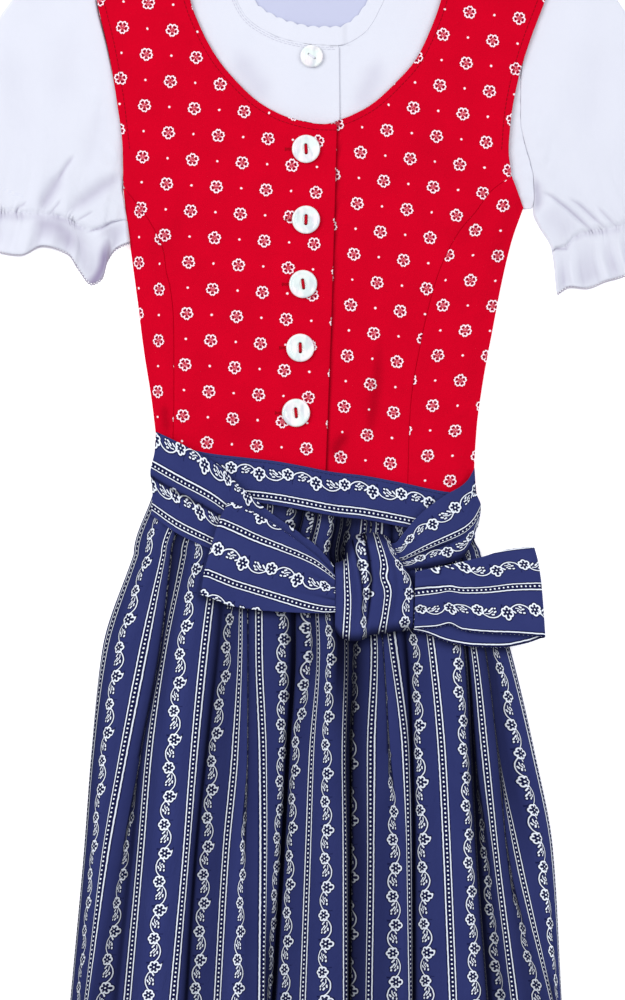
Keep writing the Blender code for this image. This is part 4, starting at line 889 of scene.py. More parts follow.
def stems_and_leaves(shader, place):
    """Distances from the ink of each stem, stalk and leaf of a vine."""
    marks = []
    for middle, radius, reach, side in STEMS:
        away = shader.vector("SUBTRACT", place, (*middle, 0.0))
        arc = shader.math("ABSOLUTE", shader.math("SUBTRACT", shader.vector("LENGTH", away), radius))
        across, lengthwise = shader.separate(away)
        past = shader.math("SUBTRACT", shader.math("ABSOLUTE", lengthwise), reach)
        behind = shader.math("MULTIPLY", across, -side)
        arc = shader.math("MAXIMUM", shader.math("MAXIMUM", arc, past), behind)
        marks.append(shader.math("SUBTRACT", arc, STEM_HALF_WIDTH))
    for strokes, half_width in ((LEAF_STALKS, STALK_HALF_WIDTH), (LEAVES, LEAF_HALF_WIDTH)):
        for start, end in strokes:
            marks.append(shader.math("SUBTRACT", shader.segment(place, start, end), half_width))
    return marks


def vine_flower(shader, u, v, reach, lobe, long_lobe):
    """Distances from a six-lobed flower's ink and from its whole body."""
    petal, far = shader.petals(u, v, 6)
    body = shader.math("SUBTRACT", shader.vector("DISTANCE", petal, (reach, 0.0, 0.0)), lobe)
    body = shader.least(body, shader.math("SUBTRACT", far, reach))
    if long_lobe:
        tip = shader.vector("DISTANCE", shader.combine(u, v), (3.4, 0.0, 0.0))
        body = shader.least(body, shader.math("SUBTRACT", tip, 1.6))
    outline = shader.math("SUBTRACT", shader.math("ABSOLUTE", body), OUTLINE_HALF_WIDTH)
    return shader.least(outline, shader.math("SUBTRACT", far, 0.6)), body


def navy_print():
    """Navy cotton with dotted double lines and vines of small flowers, one after the other."""
    shader = Shader("navy_print")
    place = shader.cloth_millimetres()
    x, y = shader.separate(shader.wobbled(place, 0.35, 0.5))
    u, stripe = shader.from_middle(x, STRIPE_PITCH)
    is_vine = shader.math("MODULO", shader.math("ABSOLUTE", stripe), 2.0)
    v = shader.math("WRAP", y, VINE_PERIOD, 0.0)
    large, large_body = vine_flower(shader, shader.math("SUBTRACT", u, LARGE_FLOWER[0]),
                                    shader.from_middle(y, VINE_PERIOD)[0], 2.55, 1.4, True)
    small, small_body = vine_flower(shader, shader.math("SUBTRACT", u, SMALL_FLOWER[0]),
                                    shader.math("SUBTRACT", v, SMALL_FLOWER[1]), 2.45, 1.35, False)
    vine = shader.least(large, small, *stems_and_leaves(shader, shader.combine(u, v)))
    ink = shader.choose(is_vine, dotted_stripe(shader, u, y), vine)
    between_lines = shader.math("SUBTRACT", shader.math("ABSOLUTE", u), 2.2)
    inside = shader.choose(is_vine, between_lines, shader.least(large_body, small_body))
    ground = shader.mix(shader.noise(place, 0.03, 3.0)[0], NAVY_DEEP, NAVY_PALE)
    dark = shader.math("MAXIMUM", shader.fade(ink, 0.3, 1.2), shader.fade(inside, -0.2, 0.2))
    ground = shader.mix(shader.math("MULTIPLY", dark, 0.85), ground, NAVY_BESIDE_INK)
    colour = shader.mix(shader.fade(ink, -0.12, 0.12), ground, NAVY_INK)
    # painted shade: the print darkens towards near-black where a fold lies in shade
    colour = shader.with_painted_shade(colour, NAVY_IN_SHADE)
    return finish_cloth(shader, place, colour, 0.5, 0.05, 0.9, 0.04, (0.4, 0.45, 1.0), 0.8)


WHITE_DEEP, WHITE_PALE = (0.725, 0.737, 0.79), (0.76, 0.77, 0.81)
# Of the colours on the next line, the second and third are painted shade: inside the back, and in folds.
WHITE_WEFT, WHITE_INSIDE_SHADE, WHITE_IN_SHADE = (0.67, 0.69, 0.78), (0.54, 0.56, 0.71), (0.31, 0.265, 0.39)


def white_cotton(name, shaded_inside=False):
    """Fine white cotton; with shaded_inside, its upward faces, inside the back, get painted lavender shade.
    """
    shader = Shader(name)
    place = shader.cloth_millimetres()
    shade = shader.noise(place, 0.03, 3.0)[0]
    thread_high = plain_weave(shader, place, 0.5)
    ground = shader.mix(shade, WHITE_DEEP, WHITE_PALE)
    colour = shader.mix(shader.fade(thread_high, -1.0, 0.4), ground, WHITE_WEFT)
    # painted shade: faces that look up, the inside of the back seen in the neck, are tinted lavender
    if shaded_inside:
        facing = shader.tree.nodes.new("ShaderNodeNewGeometry").outputs["True Normal"]
        upwards = shader.vector("DOT_PRODUCT", facing, (0.0, 0.0, 1.0))
        colour = shader.mix(shader.fade(upwards, 0.5, 0.2), colour, WHITE_INSIDE_SHADE)
    # painted shade: the cloth darkens towards lavender grey where a fold lies in shade
    colour = shader.with_painted_shade(colour, WHITE_IN_SHADE)
    return finish_cloth(shader, place, colour, 0.5, 0.03, 0.25, 0.08, (0.95, 0.95, 1.0), 0.85)


def thread(name, colour):
    """Spun sewing thread with uneven plies."""
    shader = Shader(name)
    plies = shader.noise(shader.object_millimetres(), 2.3, 2.0)[0]
    darker = tuple(0.72 * part for part in colour)
    shader.bump(plies, 0.1 * MM)
    return shader.finish({
        "Base Color": shader.mix(plies, darker, colour),
        "Roughness": 0.7,
        "Specular IOR Level": 0.08,
    })


PEARL, PEARL_GREY = (0.87, 0.87, 0.83), (0.62, 0.66, 0.68)
PEARL_MINT, PEARL_ROSE = (0.66, 0.83, 0.76), (0.88, 0.74, 0.80)


def mother_of_pearl():
    """Pale shell with soft growth streaks that shift between mint, rose and grey."""
    shader = Shader("mother_of_pearl_shell")
    place = shader.object_millimetres()
    bands = shader.noise(shader.vector("MULTIPLY", place, (0.09, 0.035, 0.1)), 1.6, 3.0, 0.6)[0]
    cloud = shader.noise(place, 0.13, 2.0)[0]
    mint = shader.math("MULTIPLY", shader.fade(cloud, 0.62, 0.5), 0.45)
    rose = shader.math("MULTIPLY", shader.fade(cloud, 0.36, 0.48), 0.4)
    colour = shader.mix(shader.fade(bands, 0.6, 0.42), PEARL, PEARL_GREY)
    colour = shader.mix(rose, shader.mix(mint, colour, PEARL_MINT), PEARL_ROSE)
    shader.bump(bands, 0.15 * MM)
    return shader.finish({
        "Base Color": colour,
        "Roughness": shader.math("MULTIPLY_ADD", bands, 0.2, 0.12),
        "Coat Weight": 0.6,
        "Coat Roughness": 0.08,
        "Sheen Weight": 0.1,
    })


def floor_paper():
    """Pale matt paper, lit a little from within so that the ground stays white."""
    shader = Shader("floor_paper")
    coordinates = shader.tree.nodes.new("ShaderNodeTexCoord").outputs["Object"]
    grain = shader.noise(coordinates, 40.0, 2.0)[0]
    return shader.finish({
        "Base Color": shader.mix(grain, (0.90, 0.90, 0.90), (0.93, 0.93, 0.93)),
        "Roughness": 0.9,
        "Emission Color": (1.0, 1.0, 1.0, 1.0),
        "Emission Strength": 0.5,
    })


red = red_print()
navy = navy_print()
white = white_cotton("white_cotton_cloth")
white_shaded_inside = white_cotton("white_cotton_shaded_inside", shaded_inside=True)
red_thread = thread("red_thread", (0.52, 0.0008, 0.012))
seam_thread = thread("seam_thread", (0.30, 0.0004, 0.008))
white_seam_thread = thread("white_seam_thread", (0.62, 0.62, 0.72))
navy_thread = thread("navy_thread", (0.019, 0.024, 0.092))
white_thread = thread("white_thread", (0.85, 0.86, 0.92))
# The picot thread is painted darker and mauve, standing for the shade among its small loops.
picot_thread = thread("picot_thread", (0.40, 0.36, 0.44))
pearl = mother_of_pearl()


# The cut of each cloth that shows, in metres and square metres.
Cut = namedtuple("Cut", "width length area")


def dress(piece):
    """Lets a piece of cloth ride with the dirndl, and hides the part that it stands for."""
    node = piece.name.removesuffix("_cloth")
    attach(piece, "root")
    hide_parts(node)


def sewn(piece):
    """Lets a piece of thread ride with the dirndl."""
    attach(piece, "root")


def puckers(x, y, line, height, pitch, reach):
    """Small uneven puckers along a seam."""
    near = np.exp(-((distance_to(line, x, y) / reach) ** 2))
    return near * unevenness(x, y, len(line), height, pitch)


def puckered(seams, x, y):
    """The puckers along several seams: rows of a line, the puckers' height and pitch, and their reach."""
    return sum(puckers(x, y, *seam) for seam in seams)


BODICE_SEAMS = [
    (NECK_LEFT + NECK_RIGHT[::-1], 0.22, 8.0, 8.0),
    (ARMHOLE_LEFT, 0.2, 9.0, 8.0),
    (ARMHOLE_RIGHT, 0.2, 9.0, 8.0),
    (PRINCESS_LEFT, 0.16, 11.0, 7.0),
    (PRINCESS_RIGHT, 0.16, 11.0, 7.0),
]
BODICE_PITCH_ACROSS, BODICE_PITCH_DOWN, BODICE_BORDER = 2.2, 2.4, 0.6
SEAM_CLEARANCE = 0.02  # how far a cloth's edge stays back from the line of its seam


def bodice_level(x, y):
    """Height that creases, swells and puckered seams add to the bodice's front."""
    return creased(BODICE_CREASES, x, y)[0] + unevenness(x, y, 3, 0.14, 48.0) + puckered(BODICE_SEAMS, x, y)


def bodice_panel(name, near, far, start, end, width, length, lap=False):
    across = shares(width, BODICE_PITCH_ACROSS, BODICE_BORDER)
    down = shares(length, BODICE_PITCH_DOWN, BODICE_BORDER)
    seam = SEAM_STEPS / (SEAM_STEPS + ARMHOLE_STEPS)
    start = joined(*start, seam, down) if isinstance(start, tuple) else start
    end = joined(*end, seam, down) if isinstance(end, tuple) else end
    plan = patch(near, far, start, end, across, down)
    x, y = plan[..., 0], plan[..., 1]
    height = bodice_front_z(x, y) + BODICE_WALL / 2 + bodice_level(x, y)
    if lap:
        height = height + bodice_lap(x, y)
    # painted shade in the bodice's creases, and on the right front beside the left front's lap edge
    painted_shade = creased(BODICE_CREASES, x, y)[1]
    if name == "bodice_front_right":
        painted_shade = np.maximum(painted_shade, between(0.5, 0, x - lap_edge_x(y), 0.4, 2.6))
    points = with_height(plan, height)
    made = shell(f"{name}_cloth", points, BODICE_WALL, print_uv(plan, name), red, painted_shade=painted_shade)
    dress(made)


def bodice_fronts():
    outer = (moved(PRINCESS_LEFT, dx=SEAM_CLEARANCE), ARMHOLE_LEFT[1:])
    waist = waist_stretch(PRINCESS_LEFT[0][0], LAP_EDGE[0][0], WAIST_GAP)
    bodice_panel("bodice_front_left", waist, [ARMHOLE_LEFT[-1], NECK_LEFT[-1]], outer, (LAP_EDGE, NECK_LEFT),
                 112, 385, lap=True)
    hidden_edge = moved(LAP_EDGE, dx=-BODICE_UNDERLAP)
    outer = (moved(PRINCESS_RIGHT, dx=-SEAM_CLEARANCE), ARMHOLE_RIGHT[2:])
    waist = waist_stretch(hidden_edge[0][0], PRINCESS_RIGHT[0][0] - SEAM_GAP / 2, WAIST_GAP)
    bodice_panel("bodice_front_right", waist, [NECK_RIGHT[-1], ARMHOLE_RIGHT[-1]], (hidden_edge, NECK_RIGHT),
                 outer, 100, 385)


def bodice_sides():
    seam = moved(PRINCESS_LEFT, dx=-SEAM_CLEARANCE)
    top = [SIDE_LEFT[-1], (PRINCESS_LEFT[-1][0] - SEAM_GAP / 2, PRINCESS_LEFT[-1][1] - SEAM_GAP)]
    waist = waist_stretch(SIDE_LEFT[0][0], seam[0][0], WAIST_GAP)
    bodice_panel("bodice_side_left", waist, top, SIDE_LEFT, seam, 22, 180)
    seam = moved(PRINCESS_RIGHT, dx=SEAM_CLEARANCE)
    top = [(PRINCESS_RIGHT[-1][0] + SEAM_GAP / 2, PRINCESS_RIGHT[-1][1] - SEAM_GAP), SIDE_RIGHT[-1]]
    waist = waist_stretch(seam[0][0], SIDE_RIGHT[0][0], WAIST_GAP)
    bodice_panel("bodice_side_right", waist, top, seam, SIDE_RIGHT, 48, 215)


def bodice_back():
    rows = shares(380, 6.0)
    across = shares(250, 6.0)
    far = [BACK_ARMHOLE_LEFT[-1], *BACK_NECK, BACK_ARMHOLE_RIGHT[-1]]
    underarm = 0.47  # share of the side edges at which the side seam ends and the armhole begins
    start = joined(SIDE_LEFT, [SIDE_LEFT[-1], *BACK_ARMHOLE_LEFT], underarm, rows)
    end = joined(SIDE_RIGHT, [SIDE_RIGHT[-1], *BACK_ARMHOLE_RIGHT], underarm, rows)
    plan = patch(waist_stretch(WAIST_SEAM[0][0], WAIST_SEAM[-1][0], WAIST_GAP), far, start, end, across, rows)
    made = shell("bodice_back_cloth", with_height(plan, BODICE_WALL / 2), BODICE_WALL, plan, red)
    dress(made)


def skirt():
    hem = [SKIRT_LEFT[-1], SKIRT_RIGHT[-1]]
    waist = waist_stretch(WAIST_SEAM[0][0], WAIST_SEAM[-1][0], -WAIST_GAP)
    for name, pitch, below in (("skirt_back", 8.0, "floor"), ("skirt_front", 4.2, "skirt_back_cloth")):
        plan = patch(waist, hem, SKIRT_LEFT, SKIRT_RIGHT, shares(300, pitch), shares(430, pitch))
        x, y = plan[..., 0], plan[..., 1]
        height = SKIRT_WALL / 2
        if name == "skirt_front":
            height = height + skirt_front_z(x, y) + unevenness(x, y, 5, 0.12, 70.0) * side_share(x, y)
        made = shell(f"{name}_cloth", with_height(plan, height), SKIRT_WALL, plan, red)
        dress(made)


def blouse_surface(name, plan, height, cloth, border=0.5, painted_shade=0.0):
    points = with_height(plan, height)
    made = shell(f"{name}_cloth", points, BLOUSE_WALL, plan, cloth, border=border, painted_shade=painted_shade)
    dress(made)


# Creases of the blouse's fronts; their shade is painted into its colour beside the bodice's neckline.
BLOUSE_CREASES = [
    Crease([(-58, 306), (-50, 290), (-40, 275), (-28, 262)], 8.0, -0.4, 0.2),
    Crease([(24, 257), (35, 271), (42, 287), (46, 300)], 7.0, -0.4, 0.2),
    Crease([(-48, 262), (-42, 275), (-36, 296)], 5.0, 0.3, 0.0),
]
# Puckered seams, as puckered() reads them.
BLOUSE_SEAMS = [
    (NECK_SEAM, 0.12, 6.0, 7.0),
    (BLOUSE_SEAM_LEFT, 0.3, 9.0, 12.0),
    (BLOUSE_SEAM_RIGHT, 0.3, 9.0, 12.0),
]
# Shares of the blouse's side edges at which the side seam ends and the sleeve's seam begins, and of its front
# edges at which the placket ends and the neck begins.
BLOUSE_UNDERARM = 4 / 22
BLOUSE_CORNER = 0.23
PLACKET_TOP = 15 / 22


def blouse_level(x, y):
    return creased(BLOUSE_CREASES, x, y)[0] + unevenness(x, y, 8, 0.12, 40.0) + puckered(BLOUSE_SEAMS, x, y)


def blouse_fronts():
    neck = along(moved(NECK_SEAM, dy=-SEAM_CLEARANCE), np.linspace(0, 1, 121))
    rows = shares(225, 2.6)
    neck_left = [tuple(point) for point in neck if point[0] < BLOUSE_PLACKET_X][::-1]
    placket = [(BLOUSE_PLACKET_X, BLOUSE_HEM_Y), neck_left[0]]
    outer = joined(BLOUSE_SIDE_LEFT, moved(BLOUSE_SEAM_LEFT, dx=SEAM_CLEARANCE), BLOUSE_UNDERARM, rows)
    inner = joined(placket, neck_left, PLACKET_TOP, rows)
    shoulder = [(BLOUSE_SEAM_LEFT[-1][0] + SEAM_GAP, BLOUSE_SHOULDER_Y), neck_left[-1]]
    plan = patch([BLOUSE_SIDE_LEFT[0], placket[0]], shoulder, outer, inner, shares(125, 2.6), rows)
    x, y = plan[..., 0], plan[..., 1]
    height = BLOUSE_FRONT_Z + BLOUSE_WALL / 2 + blouse_lap(x) + blouse_level(x, y)
    blouse_surface("blouse_front_left", plan, height, white, painted_shade=creased(BLOUSE_CREASES, x, y)[1])

    under_x = BLOUSE_PLACKET_X - BLOUSE_UNDERLAP
    neck_right = [tuple(point) for point in neck if point[0] > under_x]
    inner = joined([(under_x, BLOUSE_HEM_Y), neck_right[0]], neck_right, PLACKET_TOP, rows)
    outer = joined(BLOUSE_CORNER_RIGHT, moved(SLEEVE_SEAM_RIGHT, dx=-SEAM_CLEARANCE), BLOUSE_CORNER, rows)
    shoulder = [neck_right[-1], (BLOUSE_SEAM_RIGHT[-1][0] - SEAM_GAP, BLOUSE_SHOULDER_Y)]
    hem = [(under_x, BLOUSE_HEM_Y), BLOUSE_SIDE_RIGHT[0]]
    plan = patch(hem, shoulder, inner, outer, shares(120, 2.6), rows)
    x, y = plan[..., 0], plan[..., 1]
    height = BLOUSE_FRONT_Z + BLOUSE_WALL / 2 + blouse_level(x, y) * (x > BLOUSE_PLACKET_X)
    under_side = np.where(x > 90, bodice_front_z(x, y) - BLOUSE_WALL / 2 - 0.2, height)
    height = np.where(y < 225, np.minimum(height, under_side), height)
    blouse_surface("blouse_front_right", plan, height, white, painted_shade=creased(BLOUSE_CREASES, x, y)[1])


def blouse_back():
    rows = shares(225, 5.0)
    start = joined(BLOUSE_SIDE_LEFT[:-1], moved(BLOUSE_SEAM_LEFT, dx=BACK_CLEARANCE), BLOUSE_UNDERARM, rows)
    end = joined(BLOUSE_SIDE_RIGHT[:-1], moved(BLOUSE_SEAM_RIGHT, dx=-BACK_CLEARANCE), BLOUSE_UNDERARM, rows)
    hem = [BLOUSE_SIDE_LEFT[0], BLOUSE_SIDE_RIGHT[0]]
    far = [tuple(start[-1]), *NECK_SEAM_BACK, tuple(end[-1])]
    plan = patch(hem, far, start, end, shares(270, 4.5), rows)
    blouse_surface("blouse_back", plan, BLOUSE_BACK_Z + BLOUSE_WALL / 2, white_shaded_inside)


def scalloped(edge, inward, at):
    """An edge with small scallops along it."""
    line = along(edge, at)
    waves = round(run_along(along(edge, np.linspace(0, 1, 61)))[-1] / SCALLOP_PITCH)
    line[:, 1] += inward * SCALLOP_DEPTH * np.abs(np.sin(np.pi * waves * at))
    return line


def neck_bands():
    at = shares(185, 0.45, 0.5)
    across = shares(12, 0.9, 0.4)
    seam, edge = along(NECK_SEAM, at), scalloped(SCALLOPED_EDGE, 1, at)
    plan = seam[None] + (edge - seam)[None] * across[:, None, None]
    past_placket = between(1, 0, plan[..., 0], BLOUSE_PLACKET_X, BLOUSE_PLACKET_X + 5.0)
    height = BLOUSE_FRONT_Z + BLOUSE_WALL / 2 + blouse_lap(plan[..., 0]) * past_placket
    blouse_surface("blouse_neck_front", plan, height, white, border=0.4)
    at = shares(125, 1.0, 0.5)
    seam, edge = along(moved(NECK_SEAM_BACK, dy=SEAM_GAP), at), along(FREE_EDGE_BACK, at)
    plan = seam[None] + (edge - seam)[None] * across[:, None, None]
    blouse_surface("blouse_neck_back", plan, BLOUSE_BACK_Z + BLOUSE_WALL / 2, white_shaded_inside, border=0.4)


# Creases of the sleeves, drawn like the bodice's.
SLEEVE_CREASES = [
    Crease([(-168, 229), (-175, 220), (-182, 208)], 2.0, -1.2, 0.35),
    Crease([(-176, 219), (-183, 206.5), (-190, 195), (-196, 184)], 4.4, -2.2, 0.5),
    Crease([(-131, 218), (-142.8, 210), (-152.6, 203), (-162.4, 196), (-172, 189), (-178, 184)],
           5.0, -2.0, 0.45),
    Crease([(-163, 172.5), (-157.5, 174.7), (-150, 176.8), (-143, 180.6), (-134, 182)], 1.0, -1.0, 0.7),
    Crease([(-155, 172), (-143, 174.5), (-129, 174)], 6.0, 0.0, 0.35),
    Crease([(-204, 176), (-186, 176), (-170, 168), (-160, 152)], 7.5, -0.4, 0.5),
    Crease([(-200, 180), (-186, 179), (-172, 173)], 3.4, -0.4, 0.45),
    Crease([(-164, 168), (-159.5, 154), (-157, 141)], 3.2, 0.8, 0.0),
    Crease([(-177.5, 198), (-182, 192), (-188.5, 185)], 0.9, -0.8, 0.35),
    Crease([(-154, 189.5), (-161, 185.5), (-170, 180.5)], 0.9, -0.8, 0.4),
    Crease([(-201, 196), (-209, 190), (-213, 184)], 1.2, -0.8, 0.3),
    Crease([(-217, 310), (-208, 265), (-198, 222)], 12.0, -0.9, 0.06),
    Crease([(-168, 325), (-174, 290), (-179, 252)], 11.0, -0.8, 0.06),
    Crease([(-147, 270), (-154, 240), (-163, 213)], 7.0, -0.9, 0.08),
    Crease([(-242, 248), (-234, 222), (-223, 200)], 8.0, -0.9, 0.08),
    Crease([(-150, 305), (-151, 270), (-152, 232)], 8.0, 0.5, 0.0),
    Crease([(152.6, 215), (154.5, 205), (155.4, 197), (154, 184)], 3.4, -1.8, 0.6),
    Crease([(154, 202.5), (163.8, 199.5), (170.8, 194.6), (177.8, 189), (184.8, 182.7), (193, 175),
            (199, 167)], 1.7, -1.6, 0.42),
    Crease([(158, 193), (168, 182), (184, 168)], 9.0, -0.3, 0.2),
    Crease([(175, 199), (186.2, 191.8), (194.6, 184), (205, 175)], 1.6, -1.3, 0.35),
    Crease([(195.5, 193), (203.7, 184.8), (212, 176.5)], 1.5, -1.0, 0.25),
    Crease([(163, 160), (170, 161.8), (179, 161.5)], 1.1, -1.2, 0.5),
    Crease([(201, 318), (196, 275), (189, 228)], 11.0, -0.9, 0.06),
    Crease([(237, 268), (229, 230), (220, 195)], 8.0, -1.0, 0.08),
    Crease([(177, 305), (173, 275), (169, 245)], 8.0, 0.5, 0.0),
]
# Painted shade at the tip of the left ruffle, at full strength.
RUFFLE_TIP_SHADE = Crease([(-171, 122), (-163, 131), (-156.4, 138), (-152, 144), (-149.3, 150), (-148, 156),
                   (-146, 166), (-142, 176)], 4.4, 0.0, 1.0)
FOLD_LIGHTNESS = 0.72  # share of the darkest painted shade that the sleeves' folds reach; the ruffle's tip reaches all
SLEEVE_SEAMS = [
    (BLOUSE_SEAM_LEFT, 0.45, 12.0, 14.0),
    (BLOUSE_SEAM_RIGHT, 0.45, 12.0, 14.0),
]
SLEEVE_LENGTH = 205.0
SLEEVE_COLUMNS, SLEEVE_COLUMNS_BELOW = 225, 36
GATHER_WAVES = 41
GATHER_LEAN = 170.0  # how far the gathers lean over above their line
RUFFLE_WAVES = 6.5
PICOT_PITCH = 2.3
PICOT_REACH = 1.6
PICOT_RADIUS = 0.42


def sleeve_grid():
    """Shares of a sleeve's length, and each point's share and level around it: 1 on top, 0 underneath."""
    ends = shares(SLEEVE_LENGTH, 2.6, 0.5)
    length = np.concatenate([ends[:4], np.linspace(0.02, 0.74, 62), np.linspace(0.75, 0.985, 46), ends[-4:]])
    upper = np.linspace(0.012, 0.988, SLEEVE_COLUMNS)
    lower = np.linspace(0.988, 0.012, SLEEVE_COLUMNS_BELOW)
    turn = np.array([0.005, 0.001, 0.0, 0.001, 0.005])
    turn_level = np.array([0.12, 0.3, 0.5, 0.7, 0.88])
    around = np.concatenate([turn, upper, 1 - turn, lower])
    level = np.concatenate([turn_level, np.ones(len(upper)), turn_level[::-1], np.zeros(len(lower))])
    return length, around, level


def gather_shares(plan, length, gather_line):
    """Share of its length at which each line down a sleeve meets the elastic."""
    line_x, line_y = np.asarray(gather_line, float).T
    near_gather = plan[np.argmin(np.abs(length - 0.83)), :, 0]
    target = np.interp(near_gather, line_x, line_y)
    met = [np.interp(-target[i], -plan[:, i, 1], length) for i in range(len(target))]
    return np.clip(np.array(met)[None], 0.55, 0.93)


def sleeve(name, seam, outer, underarm, ruffle, gather_line, phase, smooth_part):
    """A flattened puff: one loop of cloth round each ring, from the armhole seam to the ruffle's edge. The
    gathers begin after the smooth part beside the underarm.
    """
    length, around, level = sleeve_grid()
    order = np.argsort(around, kind="stable")
    plan = np.empty((len(length), len(around), 2))
    plan[:, order] = patch(seam, ruffle, underarm, outer, around[order], length)
    x, y = plan[..., 0], plan[..., 1]
    gather = gather_shares(plan, length, gather_line)
    down, around = length[:, None], around[None]
    below_gather = down - gather

    # The gathers at the elastic, the ruffle's waves below it and the swells above it.
    wander = around + 0.008 * wave(5.3 * around, phase) + 0.004 * wave(17.0 * around)
    uneven = 0.45 + 0.5 * wave(3.1 * around, phase) + 0.5 * wave(11.3 * around)
    gathered = smooth((around - smooth_part) / 0.06)
    reach = 0.02 * (1.3 + 0.7 * wave(8.3 * around, phase))
    fine = wave(GATHER_WAVES * wander, phase - GATHER_LEAN * np.minimum(below_gather, 0))
    fine = 0.7 * fine * uneven * gathered * np.exp(-((below_gather / reach) ** 2))
    broad = wave(RUFFLE_WAVES * wander, phase + 1.3 * wave(2.2 * around))
    ruffled = smooth(below_gather / np.maximum(1.0 - gather, 0.05))
    swell = (1 + broad) * 0.4 * smooth((below_gather + 0.35) / 0.3) * (below_gather <= 0)
    pinch = GATHER_PINCH * np.exp(-((below_gather / GATHER_SHARE) ** 2))
    folds, shade = creased(SLEEVE_CREASES, x, y)
    relief = fine + ruffled * (1.5 * broad - 0.3) - swell - pinch + folds
    relief = relief + unevenness(x, y, 21, 0.35, 45.0) + puckered(SLEEVE_SEAMS, x, y)

    opened = smooth(down / 0.2)
    bottom = SLEEVE_SEAM_BOTTOM_Z * (1 - opened)
    puff = SLEEVE_SEAM_TOP_Z + (SLEEVE_TOP_Z - SLEEVE_SEAM_TOP_Z) * opened
    top = np.maximum(puff + relief * opened, bottom + BLOUSE_WALL + 0.9)
    points = with_height(plan, bottom + (top - bottom) * level + BLOUSE_WALL * (0.5 - level))

    # Painted shade: in creases and hollows, in the ruffle's troughs, just under the gathers and at the
    # ruffle's tip; top layer only.
    painted_shade = shade + 0.5 * smooth(hollow(points, 2.6))
    painted_shade = painted_shade + 0.42 * ruffled * (1 - broad) / 2 * smooth((1.02 - down) / 0.1)
    shade_under_gather = 0.4 * np.exp(-(((below_gather - 0.014) / 0.018) ** 2)) * np.clip(0.7 + uneven / 2, 0, 1)
    painted_shade = FOLD_LIGHTNESS * (painted_shade + shade_under_gather * gathered)
    painted_shade = np.clip(np.maximum(painted_shade, creased([RUFFLE_TIP_SHADE], x, y)[1]), 0, 1) * (level > 0.5)
    points = np.concatenate([points, points[:, :1]], axis=1)
    painted_shade = np.concatenate([painted_shade, painted_shade[:, :1]], axis=1)
    uv = np.stack([run_lengths(points, 1), run_lengths(points, 0)], axis=-1)
    made = shell(f"{name}_cloth", points, BLOUSE_WALL, uv, white, around=True, border=0.5, painted_shade=painted_shade)
    picot_edge(name, points[-1, :-1][level > 0.5], points[-2, :-1][level > 0.5])
    dress(made)


def picot_edge(name, edge, inside):
    """Small joined loops of thread along a ruffle's edge."""
    run = run_along(edge)
    outward = edge - inside
    outward[:, 2] = 0.0
    outward /= np.maximum(np.linalg.norm(outward, axis=1, keepdims=True), 1e-6)
    count = round(run[-1] / PICOT_PITCH)
    on_loop = np.linspace(0, 1, 5)
    at = (np.arange(count)[:, None] + on_loop[None]) * run[-1] / count
    place = np.stack([np.interp(at, run, edge[:, i]) for i in range(3)], axis=-1)
    away = np.stack([np.interp(at, run, outward[:, i]) for i in range(3)], axis=-1)
    loops = place + away * (PICOT_REACH * np.sin(np.pi * on_loop))[None, :, None]
    starts, ends = loops[:, :-1].reshape(-1, 3), loops[:, 1:].reshape(-1, 3)
    sewn(rods(f"{name}_picot", starts, ends, PICOT_RADIUS, picot_thread))


def sleeves():
    sleeve("blouse_sleeve_left", SLEEVE_SEAM_LEFT, OUTER_LEFT, UNDERARM_LEFT, RUFFLE_LEFT, GATHER_LEFT,
           phase=0.4, smooth_part=0.27)
    sleeve("blouse_sleeve_right", SLEEVE_SEAM_RIGHT, OUTER_RIGHT, UNDERARM_RIGHT, RUFFLE_RIGHT, GATHER_RIGHT,
           phase=1.7, smooth_part=0.06)


def waistband_top_y(x):
    edge = np.asarray(WAISTBAND_TOP)
    return through(edge[:, 0], edge[:, 1], x)


# The dark slots between folds: half-width below the thigh, half-width at the top, and share of the depth.
Slot = namedtuple("Slot", "width width_top depth")
SLOTS = {
    "crease_1": Slot(2.6, 2.6, 0.9),
    "crease_2": Slot(2.4, 2.4, 0.95),
    "gap_1": Slot(2.3, 2.6, 1.15),
    "gap_2": Slot(1.9, 4.4, 1.1),
    "crease_3": Slot(2.4, 2.4, 0.95),
    "gap_3": Slot(2.6, 1.4, 1.15),
}
SLOT_TOP_Y, SLOT_LOW_Y = -130.0, -200.0
